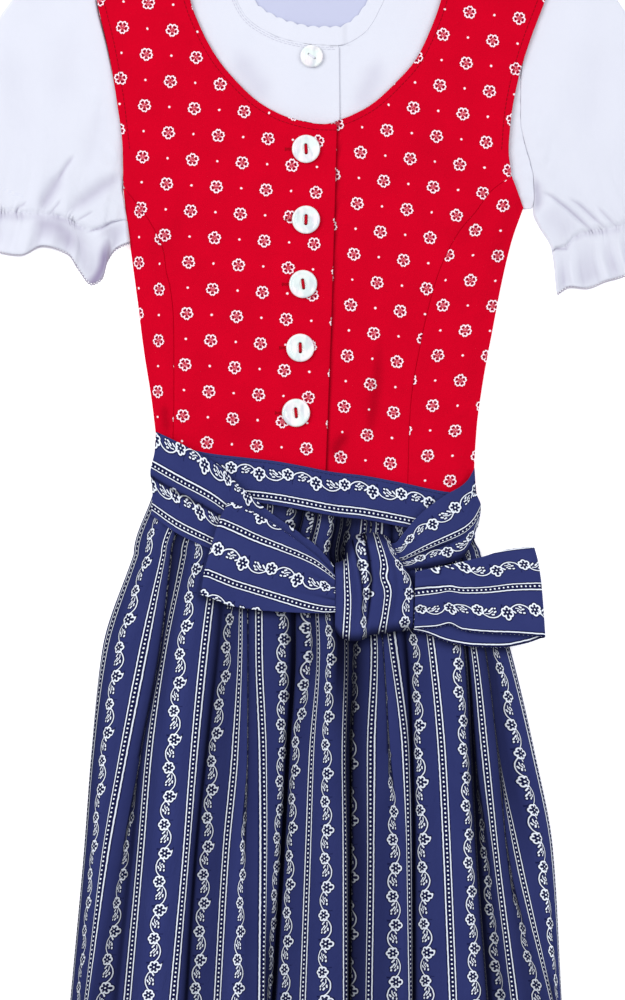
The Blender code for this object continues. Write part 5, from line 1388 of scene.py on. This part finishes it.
# How far folds of the photograph lie in shade under the bow, at the thigh and at the calf, painted into the
# cloth's colour where the depth of the cloth alone would not show it.
MIDDLE_SHADE = 0.13  # painted shade: the cloth below the knot is darkened a little all over
SHADE_LEVELS_Y = [-119, -192, -300]
FOLD_SHADES = {
    "left_edge": (0.3, 0.5, 0.5), "dots_1": (0.3, 0.5, 0.5), "vine_1": (0.1, 0.1, 0.1),
    "fold_2": (0.4, 0.4, 0.4), "vine_2": (0.6, 0.4, 0.4), "crease_1": (0.85, 0.5, 0.5),
    "dots_3": (0.4, 0.2, 0.15), "crease_2": (0.7, 0.6, 0.6), "vine_4": (0.45, 0.4, 0.35),
    "dots_5": (0.2, 0.2, 0.2), "under_5": (0.45, 0.4, 0.35), "dots_6": (0.1, 0.1, 0.1),
    "vine_6": (0.25, 0.2, 0.2), "gap_1": (1.0, 0.9, 0.8), "wall_1": (1.0, 0.9, 0.8),
    "fold_7": (0.5, 0.35, 0.35), "vine_7": (0.35, 0.3, 0.25), "dots_8": (0.15, 0.1, 0.1),
    "wall_9": (1.0, 0.05, 0.0), "under_9": (1.0, 0.1, 0.0), "dots_9": (0.8, 0.4, 0.1),
    "gap_2": (1.0, 0.95, 0.9), "after_9": (0.6, 0.5, 0.6), "dots_10": (0.2, 0.15, 0.25),
    "fold_10": (0.2, 0.25, 0.3), "vine_10": (0.15, 0.2, 0.25), "dots_11": (0.15, 0.1, 0.1),
    "crease_3": (0.7, 0.6, 0.6), "vine_11": (0.25, 0.15, 0.15), "vine_12": (0.1, 0.15, 0.1),
    "fold_13": (0.3, 0.8, 0.5), "dots_13": (0.4, 1.0, 0.6), "gap_3": (0.45, 1.0, 0.7),
    "vine_13": (0.4, 1.0, 0.55), "edge_14": (0.2, 0.4, 0.3), "dots_14": (0.1, 0.1, 0.1),
    "fold_14": (0.5, 0.4, 0.4), "vine_14": (0.55, 0.4, 0.4), "under_14": (0.6, 0.4, 0.3),
    "dots_15": (0.6, 0.4, 0.1), "after_15": (0.6, 0.6, 0.1), "before_15": (0.6, 0.55, 0.15),
    "vine_15": (0.1, 0.1, 0.0), "right_edge": (0.2, 0.4, 0.4),
}
FOLD_STEPS = 6

# How far each vine of the apron's cloth is shifted along its stripe.
VINE_SHIFTS = {1: 18.2, 3: -1.8, 5: 22.6, 7: 18.2, 9: -2.0, 11: -7.7, 13: 4.5, 15: 6.4, 17: 0.0, 19: -6.6,
               21: 12.7, 23: 9.4, 25: 3.0, 27: -4.0, 29: -6.9}


def vine_shift(stripe):
    """The shift of the cloth's vines, which changes only in the plain ground between two stripes."""
    knots, values = [], []
    for number in range(32):
        half = 0.4 if number in VINE_SHIFTS else 0.2
        knots += [number - half, number + half]
        values += [VINE_SHIFTS.get(number, 0.0)] * 2
    return np.interp(stripe, knots, values)


HIP_TOP_Y = APRON_LEVELS_Y[0]
FINE_ROWS_TO_Y = -112.0


def apron_rows():
    """x and y of every fold on each row, from the waistband to the hem."""
    xs = np.array([[f.x_top, f.x_hip, f.x_thigh, f.x_knee, f.x_calf] for f in FOLDS], float)
    levels = -np.array(APRON_LEVELS_Y, float)
    fine, coarse = np.linspace(HIP_TOP_Y, FINE_ROWS_TO_Y, 26), np.linspace(FINE_ROWS_TO_Y, APRON_HEM_Y, 92)
    at_rows = np.concatenate([fine[1:], coarse[1:]])
    below = np.array([through(levels, fold, -at_rows) for fold in xs]).T
    flare = between(1, APRON_HEM_FLARE, at_rows, APRON_LEVELS_Y[-1], APRON_HEM_Y)[:, None]
    below = np.vstack([xs[:, 0], below * flare])
    share = (xs[:, 0] - xs[0, 0]) / (xs[-1, 0] - xs[0, 0])
    at_band = BAND_LEFT_X + share * (BAND_RIGHT_X - BAND_LEFT_X)
    band_y = waistband_top_y(at_band) - WAISTBAND_HEIGHT + 0.2
    blend = np.linspace(0, 1, 14)[:-1, None]
    x_rows = np.vstack([at_band + (below[0] - at_band) * smooth(blend), below])
    level_rows = np.repeat(np.append(HIP_TOP_Y, at_rows)[:, None], len(FOLDS), 1)
    return x_rows, np.vstack([band_y + (HIP_TOP_Y - band_y) * blend, level_rows])


def apron_folds(x_rows, y_rows, steps):
    """The apron's points, with its folds and the slots between them, and the printed cloth's coordinates."""
    folds = range(len(FOLDS))
    top, low = np.array([f.lift_top for f in FOLDS]), np.array([f.lift_low for f in FOLDS])
    lift = between(top, low, y_rows, LIFT_TOP_Y, LIFT_LOW_Y)
    stripe = np.interp(steps, folds, [f.stripe for f in FOLDS])
    slots = [i for i in folds if FOLDS[i].name in SLOTS]
    whole = [i for i in folds if i not in slots]
    widths_low, widths_top, depths = np.array([SLOTS[FOLDS[i].name] for i in slots]).T
    points, uv = [], []
    for row_x, row_y, row_lift in zip(x_rows, y_rows, lift):
        at = np.interp(steps, folds, row_x)
        at_y = np.interp(at, row_x, row_y)
        base = between(APRON_TOP_Z, APRON_LOW_Z, at_y, SKIRT_FROM_Y, SKIRT_TO_Y)
        risen = through(row_x[whole], row_lift[whole], at)
        widths = between(widths_top, widths_low, row_y[0], SLOT_TOP_Y, SLOT_LOW_Y)
        for middle, width, depth in zip(row_x[slots], widths, depths):
            risen = risen * (1 - depth * np.exp(-((np.abs(at - middle) / width) ** 4)))
        points.append(np.stack([at, at_y, base + risen], axis=-1))
        uv.append(np.stack([stripe * STRIPE_PITCH, at_y + vine_shift(stripe)], axis=-1))
    return np.array(points), np.array(uv)


def apron_shade(x, y, steps):
    """Painted shade that the cloth's depth alone would not show: in the folds, below the knot and the bow."""
    shades = np.array([FOLD_SHADES.get(fold.name, (0.0, 0.0, 0.0)) for fold in FOLDS])
    at_bow, at_thigh, at_calf = (np.interp(steps, range(len(FOLDS)), level)[None] for level in shades.T)
    bow_y, thigh_y, calf_y = SHADE_LEVELS_Y
    shade = at_bow + (at_thigh - at_bow) * between(0, 1, y, bow_y, thigh_y)
    shade = shade + (at_calf - at_thigh) * between(0, 1, y, thigh_y, calf_y)
    shade = 1 - (1 - shade) * (1 - MIDDLE_SHADE * np.exp(-(((x - 20) / 60.0) ** 2)))
    # painted shadow just below the bow's loops and knot
    under_bow = distance_to([*LOOP_LEFT_BOTTOM[::-1], *KNOT_BOTTOM, *LOOP_RIGHT_BACK], x, y)
    return np.maximum(shade, 0.75 * np.exp(-((under_bow / 4.5) ** 2)))


def apron_panel():
    steps = np.linspace(0, len(FOLDS) - 1, (len(FOLDS) - 1) * FOLD_STEPS + 1)
    points, uv = apron_folds(*apron_rows(), steps)
    x, y, u = points[..., 0], points[..., 1], uv[..., 0]
    middle = 0.35 + 0.65 * between(0, 1, np.abs(x + 5.0), 75, 45)
    gathers = 0.8 * wave(u / 9.5, 1.3 * wave(u / 37.0)) * middle * between(1, 0, y, -60, -125)
    inside = smooth(np.minimum(x - x[:, :1], x[:, -1:] - x) / 10.0)
    points[..., 2] += (gathers + unevenness(x, y * 0.35, 12, 0.35, 42.0)) * inside - APRON_WALL / 2
    # Painted shade: in hollows between folds, on steep walls where the stripes crowd, just below the
    # waistband, and from apron_shade.
    pressed = np.gradient(u, axis=1) / np.maximum(np.gradient(x, axis=1), 0.02)
    band_y = waistband_top_y(x) - WAISTBAND_HEIGHT
    shade_under_band = between(0, 0.75, y, band_y - 9.0, band_y)
    shade_in_hollows = smooth((hollow(points, 7.0) - 0.4) / 2.6)
    painted_shade = np.maximum(shade_in_hollows, 0.75 * smooth((pressed - 2.2) / 1.6)) * inside
    painted_shade = 1 - (1 - painted_shade) * (1 - 0.96 * apron_shade(x, y, steps)) * (1 - shade_under_band)
    made = shell("apron_panel_cloth", points, APRON_WALL, uv, navy, painted_shade=0.97 * painted_shade)
    dress(made)


BAND_SEAMS = [(moved(WAISTBAND_TOP, dy=-WAISTBAND_HEIGHT), 0.2, 8.0, 9.0)]


def waistband_level(x, y):
    return unevenness(x, y, 14, 0.12, 30.0) + puckered(BAND_SEAMS, x, y)


def waistband():
    at = shares(225, 1.6)
    x = WAISTBAND_TOP[0][0] + at * (WAISTBAND_TOP[-1][0] - WAISTBAND_TOP[0][0])
    down = shares(WAISTBAND_HEIGHT, 1.8)[:, None] * WAISTBAND_HEIGHT
    plan = np.stack(np.broadcast_arrays(x[None], waistband_top_y(x)[None] - down), axis=-1)
    x, y = plan[..., 0], plan[..., 1]
    height = band_z(x, y) + BAND_WALL / 2 + waistband_level(x, y)
    uv = np.stack([STRIPE_PITCH + down - 9.0 + 0 * x, x], axis=-1)
    made = shell("apron_waistband_cloth", with_height(plan, height), BAND_WALL, uv, navy)
    dress(made)


# The stripes that show across each strip of the bow, as (share of its width, stripe number of the cloth).
TIE_LEFT_STRIPES = [(0.0, 2.75), (0.07, 3), (0.40, 4), (0.49, 4.4), (0.51, 4.7), (0.62, 5), (0.90, 6),
                    (1.0, 6.4)]
TIE_LEFT_INNER_STRIPES = [(0.0, 3.3), (0.40, 4), (0.49, 4.4), (0.51, 4.7), (0.62, 5), (0.90, 6), (1.0, 6.4)]
TIE_RIGHT_STRIPES = [(0.0, 0.3), (0.26, 1), (0.60, 2), (0.66, 2.35), (0.68, 2.65), (0.77, 3), (1.0, 3.7)]
LOOP_LEFT_TIP_STRIPES = [(0.0, 1.0), (0.23, 2), (0.52, 3), (0.77, 4), (1.0, 4.95)]
LOOP_LEFT_KNOT_STRIPES = [(0.0, 1.7), (0.08, 2), (0.44, 3), (0.93, 4), (1.0, 4.2)]
LOOP_RIGHT_TIP_STRIPES = [(0.0, 0.1), (0.21, 1), (0.44, 2), (0.72, 3), (1.0, 3.97)]
LOOP_RIGHT_KNOT_STRIPES = [(0.0, 1.35), (0.38, 2), (0.68, 3), (1.0, 3.97)]
KNOT_TOP_STRIPES = [(0.0, 5.5), (0.19, 6), (0.62, 7.0), (0.67, 7.4), (0.82, 8), (0.95, 8.9), (1.0, 9.2)]
KNOT_BOTTOM_STRIPES = [(0.0, 5.4), (0.18, 6), (0.39, 6.9), (0.44, 7.4), (0.62, 8), (0.90, 9), (1.0, 9.4)]


def stripes_across(stripes, across):
    at, number = zip(*stripes)
    return np.interp(across, at, number) * STRIPE_PITCH


def tie(name, plan, relief, stripe, painted_shade):
    """One strip from the side seam to the knot."""
    points = with_height(plan, tie_z(plan[..., 0]) + TIE_WALL / 2 + relief)
    uv = np.stack([stripe, run_lengths(with_height(plan, 0.0), 1) * 1.02], axis=-1)
    made = shell(f"{name}_cloth", points, TIE_WALL, uv, navy, painted_shade=painted_shade)
    dress(made)


def ties():
    down = shares(48, 1.0)
    inner = [TIE_LEFT_TOP[-1], TIE_LEFT_BOTTOM[-1]]
    plan = patch(TIE_LEFT_TOP, TIE_LEFT_BOTTOM, TIE_LEFT_END, inner, shares(150, 1.2), down)
    x, y = plan[..., 0], plan[..., 1]
    relief = between(0.8, 0, down, 0.46, 0.53)[:, None] + unevenness(x, y, 31, 0.22, 24.0)
    inner_share = between(0, 1, x, -60, -28)
    stripe = stripes_across(TIE_LEFT_STRIPES, down)[:, None] * (1 - inner_share)
    stripe = stripe + stripes_across(TIE_LEFT_INNER_STRIPES, down)[:, None] * inner_share
    # painted shade along the step across the left tie
    painted_shade = 0.85 * np.exp(-(((down - 0.54) / 0.025) ** 2))[:, None] + 0 * x
    tie("apron_tie_left", plan, relief, stripe, painted_shade)

    inner = [TIE_RIGHT_TOP[0], TIE_RIGHT_BOTTOM[0]]
    plan = patch(TIE_RIGHT_TOP, TIE_RIGHT_BOTTOM, inner, TIE_RIGHT_END, shares(75, 1.0), down)
    x, y = plan[..., 0], plan[..., 1]
    crease = np.exp(-(((down - 0.67) / 0.03) ** 2))[:, None] * between(1, 0.2, x, 88, 108)
    relief = unevenness(x, y, 33, 0.25, 22.0) - 0.9 * crease
    stripe = stripes_across(TIE_RIGHT_STRIPES, down)[:, None] + 0 * x
    # painted shade in the right tie's crease and towards its lower edge
    painted_shade = np.maximum(0.9 * crease, between(0, 0.75, down, 0.84, 0.97)[:, None] + 0 * x)
    tie("apron_tie_right", plan, relief, stripe, painted_shade)


# Pleats of the bow's loops: each one's share across, its width as such a share, and its depth.
LOOP_PLEATS = [(0.12, 0.09, -0.9), (0.31, 0.06, -1.2), (0.47, 0.08, -0.8), (0.66, 0.06, -1.3),
               (0.82, 0.07, -0.9)]
TIP_LAYERS = 11


def bow_loop(name, top, bottom, back, tip, stripes, phase):
    """One strip from the knot out behind, round its tip and back in front."""
    across = shares(62, 1.25)
    outward = shares(82, 1.6)
    knot_end, knot_back = [top[0], bottom[0]], [top[0], back[0]]
    tip_back = tip[:-1] + [back[-1]]
    front = patch(top, bottom, knot_end, tip, outward, across).transpose(1, 0, 2)
    behind = patch(top, back, knot_back, tip_back, outward, across).transpose(1, 0, 2)
    rise = between(LOOP_RISE_AT_KNOT, LOOP_RISE_AT_TIP, outward, 0, 0.8)
    relief = np.zeros((len(outward), len(across)))
    for middle, width, depth in LOOP_PLEATS:
        spread = width * (1 + 0.8 * outward[:, None])
        fan = middle + phase * 0.05 * outward[:, None]
        relief += depth * np.exp(-(((across[None] - fan) / spread) ** 2)) * (1 - outward[:, None]) ** 1.3
    relief += 1.0
    relief *= between(1, 0, outward, 0.0, 0.95)[:, None]
    base = LOOP_Z + LOOP_WALL / 2
    layers = [(behind[i], np.full(len(across), base)) for i in range(len(outward))]
    side = np.sign(tip[0][0] - top[0][0])
    half = LOOP_RISE_AT_TIP / 2
    for angle in np.radians(np.linspace(-75, 75, TIP_LAYERS)):
        share = (1 + np.sin(angle)) / 2
        middle = behind[-1] * (1 - share) + front[-1] * share
        height = np.full(len(across), base + half + half * np.sin(angle))
        layers.append((middle + (side * half * np.cos(angle), 0), height))
    for i in range(len(outward) - 1, -1, -1):
        swell = unevenness(front[i][:, 0], front[i][:, 1], 41, 0.25, 22.0) * (1 - outward[i] ** 4)
        layers.append((front[i], base + rise[i] + relief[i] + swell))
    points = np.array([with_height(plan[None], height[None])[0] for plan, height in layers])
    out = np.concatenate([outward, np.ones(TIP_LAYERS), outward[::-1]])[:, None]
    at_knot, at_tip = (stripes_across(table, across)[None] for table in stripes)
    u = at_knot + (at_tip - at_knot) * smooth(out / 0.8)
    uv = np.stack([u, run_lengths(points, 0)], axis=-1)
    # painted shade in the loop's pleats and hollows, fading out towards the tip
    painted_shade = 0.85 * smooth(hollow(points, 5.0) / 1.1) * (1 - out) ** 0.5
    made = shell(f"{name}_cloth", points, LOOP_WALL, uv, navy, painted_shade=painted_shade)
    dress(made)


# Pleats of the knot: each crease's share across at the top and at the bottom, its width and its depth.
KNOT_CREASES = [(0.30, 0.30, 0.035, 0.16), (0.65, 0.42, 0.022, 0.5), (0.90, 0.76, 0.03, 0.2),
                (0.44, 0.385, 0.022, 0.35)]


def bow_knot():
    across, down = shares(54, 0.7), shares(70, 1.0)
    plan = patch(KNOT_TOP, KNOT_BOTTOM, KNOT_LEFT, KNOT_RIGHT, 0.005 + 0.99 * across, down)
    u, v = across[None], down[:, None]
    dome = np.sin(np.pi * u) ** 0.45 * (0.35 + 0.65 * np.sin(np.pi * (0.08 + 0.92 * v)) ** 0.5)
    dents = np.zeros(plan.shape[:2])
    for at_top, at_bottom, width, depth in KNOT_CREASES:
        middle = at_top + (at_bottom - at_top) * v + 0.012 * np.sin(2 * np.pi * v)
        dents += depth * np.exp(-(((u - middle) / width) ** 2)) * (1 - v**6)
    wall = KNOT_EDGE + KNOT_HEIGHT * dome * (1.06 - dents)
    points = with_height(plan, KNOT_Z + wall / 2)
    bent = u + 0.05 * np.exp(-(((v - 0.46) / 0.09) ** 2) - ((u - 0.70) / 0.09) ** 2)
    stripe = stripes_across(KNOT_TOP_STRIPES, bent) * (1 - v) + stripes_across(KNOT_BOTTOM_STRIPES, bent) * v
    uv = np.stack([stripe, plan[..., 1]], axis=-1)
    # painted shade in the knot's creases and along its top and bottom edges
    painted_shade = smooth(dents * 1.5 - 0.1) + between(0, 0.85, v, 0.88, 1.0) + between(0.7, 0, v, 0.0, 0.16)
    painted_shade = np.clip(painted_shade, 0, 1)
    made = shell("bow_knot_cloth", points, wall, uv, navy, border=0.8, upright=True, painted_shade=painted_shade)
    dress(made)


def bow():
    bow_loop("bow_loop_left", LOOP_LEFT_TOP, LOOP_LEFT_BOTTOM, moved(LOOP_LEFT_BOTTOM, dy=0.4), LOOP_LEFT_TIP,
             (LOOP_LEFT_KNOT_STRIPES, LOOP_LEFT_TIP_STRIPES), 1.0)
    bow_loop("bow_loop_right", LOOP_RIGHT_TOP, LOOP_RIGHT_BOTTOM, LOOP_RIGHT_BACK, LOOP_RIGHT_TIP,
             (LOOP_RIGHT_KNOT_STRIPES, LOOP_RIGHT_TIP_STRIPES), -1.0)
    bow_knot()


def rods(name, starts, ends, radius, material, sides=6):
    """Many short rods with tapered ends, such as stitches, in one mesh. All in plan millimetres."""
    starts, ends = np.asarray(starts, float), np.asarray(ends, float)
    run = ends - starts
    ahead = run / np.linalg.norm(run, axis=1, keepdims=True)
    helper = np.where(np.abs(ahead[:, 2:]) > 0.9, (1.0, 0.0, 0.0), (0.0, 0.0, 1.0))
    aside = np.cross(ahead, helper)
    aside /= np.linalg.norm(aside, axis=1, keepdims=True)
    upward = np.cross(aside, ahead)
    angles = np.linspace(0, 2 * np.pi, sides, endpoint=False)
    ring = np.cos(angles)[None, :, None] * aside[:, None] + np.sin(angles)[None, :, None] * upward[:, None]
    profile = [(0.0, 0.35), (0.1, 0.8), (0.3, 1.0), (0.7, 1.0), (0.9, 0.8), (1.0, 0.35)]
    rings = [starts[:, None] + run[:, None] * share + ring * radius * wide for share, wide in profile]
    vertices = np.stack(rings, axis=1)
    count, levels = len(starts), len(profile)
    faces = []
    for rod in range(count):
        first = rod * levels * sides
        for level in range(levels - 1):
            for i in range(sides):
                j = (i + 1) % sides
                near, far = first + level * sides, first + (level + 1) * sides
                faces.append((near + i, near + j, far + j, far + i))
        faces.append(tuple(first + i for i in range(sides))[::-1])
        faces.append(tuple(first + (levels - 1) * sides + i for i in range(sides)))
    mesh = bpy.data.meshes.new(name)
    mesh.from_pydata(to_world(vertices.reshape(-1, 3)).tolist(), [], faces)
    mesh.materials.append(material)
    mesh.shade_smooth()
    return linked(name, mesh)


STITCH_LENGTH = 2.5
STITCH_PITCH = 3.1
STITCH_RADIUS = 0.24
BUTTONHOLE_FROM, BUTTONHOLE_TO = -14.0, 6.0

# Buttons: a turned disc with a raised rim, an oval recess and two holes, sewn on with a bar of thread.
BUTTON_PROFILE = [(0.0, 1.85), (0.45, 1.88), (0.66, 2.0), (0.76, 2.25), (0.84, 2.42), (0.91, 2.35),
                  (0.965, 2.05), (1.0, 1.5), (0.985, 0.9), (0.93, 0.25), (0.86, 0.0), (0.0, 0.0)]
BUTTON_SIDES = 72
HOLE_PITCH = 5.6
HOLE_RADIUS = 1.15
BODICE_BUTTON_TURNS = [0.05, -0.04, 0.12, 0.02, 0.1]  # radians


def turned_disc(name, radius):
    mesh = bmesh.new()
    angles = np.linspace(0, 2 * np.pi, BUTTON_SIDES, endpoint=False)
    rings = []
    for share, z in BUTTON_PROFILE:
        around = angles if share > 0 else angles[:1]
        far = share * radius * MM
        rings.append([mesh.verts.new((far * math.cos(a), far * math.sin(a), z * MM)) for a in around])
    for inner, outer in zip(rings, rings[1:]):
        for i in range(BUTTON_SIDES):
            j = (i + 1) % BUTTON_SIDES
            this_side = (inner[i % len(inner)], outer[i % len(outer)])
            next_side = (outer[j % len(outer)], inner[j % len(inner)])
            mesh.faces.new(list(dict.fromkeys(this_side + next_side)))
    bmesh.ops.recalc_face_normals(mesh, faces=mesh.faces[:])
    disc = bpy.data.meshes.new(name)
    mesh.to_mesh(disc)
    mesh.free()
    return linked(name, disc)


def cutter(kind, place, size):
    if kind == "hole":
        bpy.ops.mesh.primitive_cylinder_add(vertices=20, radius=1, depth=2)
    else:
        bpy.ops.mesh.primitive_uv_sphere_add(segments=40, ring_count=20, radius=1)
    made = bpy.context.object
    made.location = [part * MM for part in place]
    made.scale = [part * MM for part in size]
    return made


def button(name, centre, radius, under, turn, sewn_with, pitch=HOLE_PITCH, hole=HOLE_RADIUS, recess=True):
    made = turned_disc(f"{name}_disc", radius)
    cutters = [cutter("hole", (0, side * pitch / 2, 1.0), (hole, hole, 4.0)) for side in (-1, 1)]
    if recess:
        cutters.append(cutter("recess", (0, 0, 2.35), (2.7, 0.5 * radius, 1.35)))
    for tool in cutters:
        cut = made.modifiers.new("Cut", "BOOLEAN")
        cut.object = tool
        cut.operation = "DIFFERENCE"
        cut.solver = "EXACT"
    bpy.context.view_layer.update()
    shape = bpy.data.meshes.new_from_object(made.evaluated_get(bpy.context.evaluated_depsgraph_get()))
    made.modifiers.clear()
    made.data = shape
    for tool in cutters:
        bpy.data.objects.remove(tool)
    shape.materials.clear()
    shape.materials.append(pearl)
    shape.shade_smooth()
    shape.set_sharp_from_angle(angle=math.radians(35))
    shape.transform(Matrix.Translation(to_world((*centre, under))) @ Matrix.Rotation(turn, 4, "Z"))
    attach(made, "root")
    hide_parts(name)
    along_holes = np.array((-math.sin(turn), math.cos(turn), 0.0))
    across_holes = np.array((math.cos(turn), math.sin(turn), 0.0))
    middle = np.array((*centre, under + (1.55 if recess else 1.85)))
    spread = 0.32 * hole
    starts, ends = [], []
    for strand in range(-2, 3):
        offset = across_holes * strand * spread + np.array((0, 0, 0.35 - 0.06 * abs(strand)))
        starts.append(middle + offset - along_holes * pitch / 2)
        ends.append(middle + offset + along_holes * pitch / 2)
        for side in (-1, 1):
            foot = middle + offset + side * along_holes * pitch / 2
            starts.append(foot + np.array((0, 0, 0.12)))
            ends.append(foot + side * along_holes * 0.25 - np.array((0, 0, 1.7)))
    bar = rods(f"{name}_thread", starts, ends, 0.27 * hole, sewn_with, sides=8)
    sewn(bar)


def buttons():
    for number, ((x, y), turn) in enumerate(zip(BODICE_BUTTONS, BODICE_BUTTON_TURNS), start=1):
        under = float(bodice_front_z(np.array(x), np.array(y))) + BODICE_LAP + BODICE_WALL + SEAM_GAP
        button(f"bodice_button_{number}", (x, y), BODICE_BUTTON_RADIUS, under, turn, red_thread)
    under = BLOUSE_FRONT_Z + BLOUSE_LAP + BLOUSE_WALL + SEAM_GAP
    button("blouse_button", BLOUSE_BUTTON, BLOUSE_BUTTON_RADIUS, under, 0.96, white_thread,
           pitch=4.9, hole=0.8, recess=False)


def offset_line(line, inward, step=1.5):
    """A line this far beside another one, to its left as it runs."""
    points = along(line, np.linspace(0, 1, max(2, round(run_along(line)[-1] / step))))
    ahead = np.gradient(points, axis=0)
    ahead /= np.linalg.norm(ahead, axis=1, keepdims=True)
    return points + inward * np.stack([-ahead[:, 1], ahead[:, 0]], axis=-1)


def stitches(name, line, top_z, material, radius=STITCH_RADIUS):
    """A row of running stitches, half sunk into the cloth."""
    run = run_along(line)
    count = int(run[-1] / STITCH_PITCH)
    first = np.arange(count) * STITCH_PITCH
    ends = []
    for at in (first, first + STITCH_LENGTH):
        x, y = np.interp(at, run, line[:, 0]), np.interp(at, run, line[:, 1])
        ends.append(np.stack([x, y, top_z(x, y) + 0.05], axis=-1))
    sewn(rods(name, ends[0], ends[1], radius, material, sides=5))


def bodice_top(lap):
    def height(x, y):
        return bodice_front_z(x, y) + BODICE_WALL + bodice_level(x, y) + (bodice_lap(x, y) if lap else 0.0)
    return height


def blouse_top(x, y):
    return BLOUSE_FRONT_Z + BLOUSE_WALL + blouse_lap(x) + blouse_level(x, y)


def waistband_top(x, y):
    return band_z(x, y) + BAND_WALL + waistband_level(x, y)


# How far each row of stitches lies inside its edge.
NECK_INSET, ARMHOLE_INSET, BAND_INSET = 4.2, 5.0, 2.0
BLOUSE_NECK_INSETS = (1.4, 2.8)


def seams():
    """Rows of stitches beside the dress's edges, on the waistband and at the blouse's neck."""
    neck_right = offset_line(NECK_RIGHT, -NECK_INSET)
    shown = neck_right[neck_right[:, 0] > LAP_EDGE[-1][0] + 1.0]
    for name, line, lap in (
        ("neck_stitches_left", offset_line(NECK_LEFT, NECK_INSET), True),
        ("neck_stitches_right", shown, False),
        ("armhole_stitches_left", offset_line(ARMHOLE_LEFT[2:], -ARMHOLE_INSET), False),
        ("armhole_stitches_right", offset_line(ARMHOLE_RIGHT[3:], ARMHOLE_INSET), False),
    ):
        stitches(f"bodice_{name}", line, bodice_top(lap), seam_thread)
    band = offset_line(WAISTBAND_TOP, -BAND_INSET)
    stitches("waistband_stitches", band[3:-3], waistband_top, navy_thread)
    for number, inset in enumerate(BLOUSE_NECK_INSETS, start=1):
        row = offset_line(NECK_SEAM, -inset)
        row = row[row[:, 0] < BLOUSE_PLACKET_X - 1.5]
        stitches(f"blouse_neck_stitches_{number}", row, blouse_top, white_seam_thread, 0.18)


def buttonholes():
    """Bound slits beside the bodice's buttons, each with a bar of thread at its outer end."""
    height = bodice_top(True)
    for number, (x, y) in enumerate(BODICE_BUTTONS, start=1):
        at = np.arange(x + BUTTONHOLE_FROM, x + BUTTONHOLE_TO, 0.5)
        starts, ends = [], []
        for side in (-1, 1):
            inner, outer = y + side * 0.1 + 0 * at, y + side * 0.9 + 0 * at
            level = height(at, outer) + 0.1
            starts.append(np.stack([at, inner, level], axis=-1))
            ends.append(np.stack([at, outer, level], axis=-1))
        bar = x + BUTTONHOLE_FROM - np.array((0.1, 0.6))
        level = height(bar, y + 0 * bar) + 0.2
        starts.append(np.stack([bar, y - 1.3 + 0 * bar, level], axis=-1))
        ends.append(np.stack([bar, y + 1.3 + 0 * bar, level], axis=-1))
        starts, ends = np.concatenate(starts), np.concatenate(ends)
        sewn(rods(f"bodice_buttonhole_{number}", starts, ends, 0.2, red_thread, sides=5))


FLOOR_SIZE = 6.0
FLOOR_GAP = 0.4 * MM


def floor():
    bpy.ops.mesh.primitive_plane_add(size=FLOOR_SIZE, location=(0, 0, -FLOOR_GAP))
    made = bpy.context.object
    made.name = "floor"
    made.data.materials.append(floor_paper())


def area_light(name, place, size, power):
    light = bpy.data.lights.new(name, "AREA")
    light.shape = "RECTANGLE"
    light.size, light.size_y = size
    light.energy = power
    made = linked(name, light)
    made.location = place
    made.rotation_euler = (-Vector(place)).to_track_quat("-Z", "Y").to_euler()


# Each light's place and size in metres, and its power in watts.
KEY_LIGHT = ((-1.7, 0.9, 2.0), (1.5, 1.5), 43.5)
FILL_LIGHT = ((1.6, 0.4, 2.0), (1.8, 1.8), 24.5)
SKY_COLOUR = (0.88, 0.90, 1.0, 1.0)
SKY_STRENGTH = 0.62


def lights():
    area_light("key", *KEY_LIGHT)
    area_light("fill", *FILL_LIGHT)
    world = bpy.data.worlds.new("studio")
    bpy.context.scene.world = world
    world.use_nodes = True
    sky = world.node_tree.nodes["Background"]
    sky.inputs["Color"].default_value = SKY_COLOUR
    sky.inputs["Strength"].default_value = SKY_STRENGTH
    bpy.context.scene.view_settings.view_transform = "Standard"


CAMERA_DISTANCE = 2.5
CLOTH_HEIGHT = 0.008
SENSOR = 36.0


def camera():
    looks_at = from_pixel(*PHOTO_CENTRE_PIXEL) - PLAN_CENTRE
    lens = bpy.data.cameras.new("camera")
    lens.sensor_width = SENSOR
    lens.lens = SENSOR * CAMERA_DISTANCE / (PHOTO_HEIGHT_PIXELS * PIXEL * MM)
    made = linked("camera", lens)
    made.location = (looks_at[0] * MM, looks_at[1] * MM, CLOTH_HEIGHT + CAMERA_DISTANCE)
    bpy.context.scene.camera = made


floor()
camera()
bodice_fronts()
bodice_sides()
bodice_back()
skirt()
blouse_fronts()
blouse_back()
neck_bands()
sleeves()
apron_panel()
waistband()
ties()
bow()
buttons()
buttonholes()
seams()
lights()
